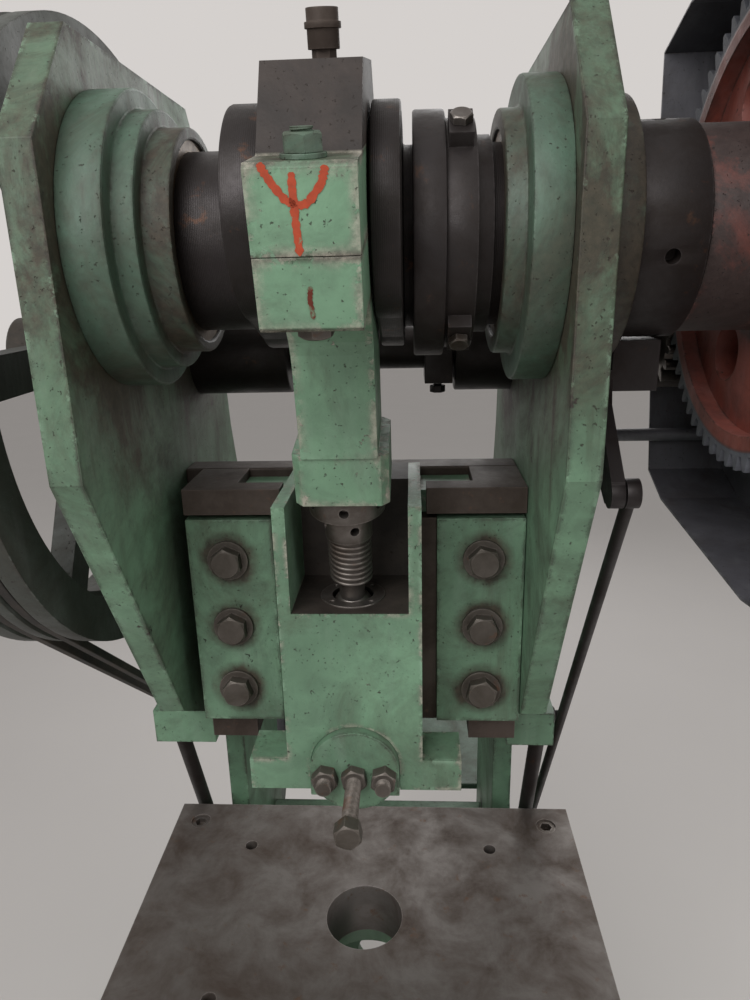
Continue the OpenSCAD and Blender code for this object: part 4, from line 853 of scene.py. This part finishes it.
class PRESS_OT_spring(PressOperator, bpy.types.Operator):
    """Wind the treadle's return spring, with a hook at each end"""
    bl_idname = "press.treadle_spring"
    bl_label = "Treadle spring"

    def execute(self, context):
        sizes = context.scene.press_sizes
        x, y = 0.232, 0.090
        low, high = Vector((x, y, 0.200)), Vector((x, y, 0.390))
        rise, coil_radius, ring = 0.026, 0.011, 0.007
        holder = link("coil_holder", bpy.data.meshes.new("coil_holder"))
        values = {"Turns": float(sizes.spring_turns), "Radius": coil_radius, "Wire": sizes.spring_wire / 2,
                  "Length": high.z - low.z - 2 * rise, "Steps": 22, "Finish": FINISH["steel"]}
        coil = grown(holder, spring_tree(), values, "coil")
        coil.data.transform(Matrix.Translation(low + Vector((0, 0, rise))))
        bm = bmesh.new()
        bm.from_mesh(coil.data)
        bpy.data.objects.remove(coil)
        for centre, way in ((low, 1), (high, -1)):
            bend = ((coil_radius, rise), (0.009, rise - 0.003), (0.003, rise - 0.007), (0, rise - 0.011))
            path = [centre + Vector((out, 0, way * up)) for out, up in bend]
            for a in range(0, 331, 22):
                path.append(centre + Vector((0, ring * sin(radians(a)), way * ring * cos(radians(a)))))
            hook = tube(path, sizes.spring_wire / 2)
            mesh = bpy.data.meshes.new("hook")
            hook.to_mesh(mesh)
            bm.from_mesh(mesh)
        mesh = bpy.data.meshes.new("treadle_spring")
        bmesh.ops.recalc_face_normals(bm, faces=bm.faces)
        bm.to_mesh(mesh)
        smooth(mesh, 60)
        spring = link("treadle_spring", mesh, "steel")
        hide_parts("return_spring")
        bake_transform(spring)
        return {"FINISHED"}


class PRESS_OT_stage(PressOperator, bpy.types.Operator):
    """Set the camera, the lamps and the pale floor"""
    bl_idname = "press.stage"
    bl_label = "Camera, light and floor"

    def execute(self, context):
        stage = context.scene.press_stage
        right, up, ahead = (Vector((0.99856, 0.04829, -0.02316)), Vector((0.00775, 0.29758, 0.95467)),
                            Vector((-0.05299, 0.95348, -0.29678)))
        data = bpy.data.cameras.new("Camera")
        data.sensor_fit = "HORIZONTAL"
        data.sensor_width = 36.0
        data.lens = 35.06
        data.clip_start = 0.02
        camera = bpy.data.objects.new("Camera", data)
        turn = Matrix((right, up, -ahead)).transposed().to_4x4()
        camera.matrix_world = Matrix.Translation((0.063, -0.890, 1.606)) @ turn
        context.collection.objects.link(camera)
        context.scene.camera = camera

        for name, power, size, place, aim in (
                ("Key", stage.key_light, 1.8, (-0.9, -2.2, 3.0), (0, -0.1, 1.3)),
                ("Fill", stage.fill_light, 1.6, (2.4, -1.4, 1.9), (0, -0.1, 1.3)),
                ("Back", stage.fill_light, 2.0, (0.6, 2.6, 2.6), (0, 0.1, 1.2))):
            lamp = bpy.data.lights.new(name, "AREA")
            lamp.energy = power
            lamp.size = size
            obj = bpy.data.objects.new(name, lamp)
            obj.matrix_world = Matrix.Translation(place) @ (Vector(aim) - Vector(place)).to_track_quat(
                "-Z", "Y").to_matrix().to_4x4()
            context.collection.objects.link(obj)

        world = bpy.data.worlds.new("Plain light")
        world.use_nodes = True
        nodes, links = world.node_tree.nodes, world.node_tree.links
        light = nodes["Background"]
        light.inputs["Color"].default_value = (1.0, 0.985, 0.97, 1)
        light.inputs["Strength"].default_value = stage.ambient
        pale = nodes.new("ShaderNodeBackground")
        pale.inputs["Color"].default_value = (0.66, 0.63, 0.61, 1)
        path = nodes.new("ShaderNodeLightPath")
        seen = path.outputs["Is Camera Ray"]
        for kind in ("Is Glossy Ray", "Is Transmission Ray"):
            either = nodes.new("ShaderNodeMath")
            either.operation = "MAXIMUM"
            links.new(seen, either.inputs[0])
            links.new(path.outputs[kind], either.inputs[1])
            seen = either.outputs[0]
        both = nodes.new("ShaderNodeMixShader")
        links.new(seen, both.inputs[0])
        links.new(light.outputs[0], both.inputs[1])
        links.new(pale.outputs[0], both.inputs[2])
        links.new(both.outputs[0], nodes["World Output"].inputs[0])
        context.scene.world = world
        context.scene.view_settings.view_transform = "Standard"

        ground = Surface("pale_floor")
        grain = ground.noise(3.0, 4, 0.5)
        colour = tuple(stage.floor)
        tone = ground.mix(ground.between(grain, 0.3, 0.7, 0, 0.25), colour, [c * 0.93 for c in colour])
        FINISH["floor"] = ground.done(tone, 0.8, ground.bump(grain, 0.0002))
        floor = link("floor", floor_disc(14.0), "floor")
        return {"FINISHED"}


def floor_disc(radius):
    """Flat round floor at the height where the press stands."""
    bm = bmesh.new()
    bmesh.ops.create_circle(bm, cap_ends=True, segments=96, radius=radius)
    mesh = bpy.data.meshes.new("floor")
    bm.to_mesh(mesh)
    bm.free()
    return mesh


class PRESS_PT_panel(bpy.types.Panel):
    """The press's values, and a button for each of its groups"""
    bl_idname = "PRESS_PT_panel"
    bl_label = "Stamping press"
    bl_space_type = "VIEW_3D"
    bl_region_type = "UI"
    bl_category = "Press"

    def draw(self, context):
        layout = self.layout
        for group in (context.scene.press_paint, context.scene.press_sizes, context.scene.press_stage):
            box = layout.box()
            for name in group.bl_rna.properties.keys():
                if name not in ("rna_type", "name"):
                    box.prop(group, name)
        for operator in OPERATORS:
            layout.operator(operator.bl_idname)


GROUPS = (PressPaint, PressSizes, PressStage)
OPERATORS = (PRESS_OT_finishes, PRESS_OT_stage, PRESS_OT_frame, PRESS_OT_slide, PRESS_OT_clamp,
             PRESS_OT_crank, PRESS_OT_rod, PRESS_OT_drive, PRESS_OT_spring)


def register():
    for kind in GROUPS + OPERATORS + (PRESS_PT_panel,):
        bpy.utils.register_class(kind)
    bpy.types.Scene.press_paint = PointerProperty(type=PressPaint)
    bpy.types.Scene.press_sizes = PointerProperty(type=PressSizes)
    bpy.types.Scene.press_stage = PointerProperty(type=PressStage)


def unregister():
    del bpy.types.Scene.press_paint, bpy.types.Scene.press_sizes, bpy.types.Scene.press_stage
    for kind in reversed(GROUPS + OPERATORS + (PRESS_PT_panel,)):
        bpy.utils.unregister_class(kind)


def main():
    register()
    bpy.ops.press.finishes()
    bpy.ops.press.stage()
    bpy.ops.press.dress_frame()
    bpy.ops.press.dress_slide()
    bpy.ops.press.shank_clamp()
    bpy.ops.press.dress_crank()
    bpy.ops.press.dress_rod()
    bpy.ops.press.dress_drive()
    bpy.ops.press.treadle_spring()


if __name__ == "__main__":
    main()
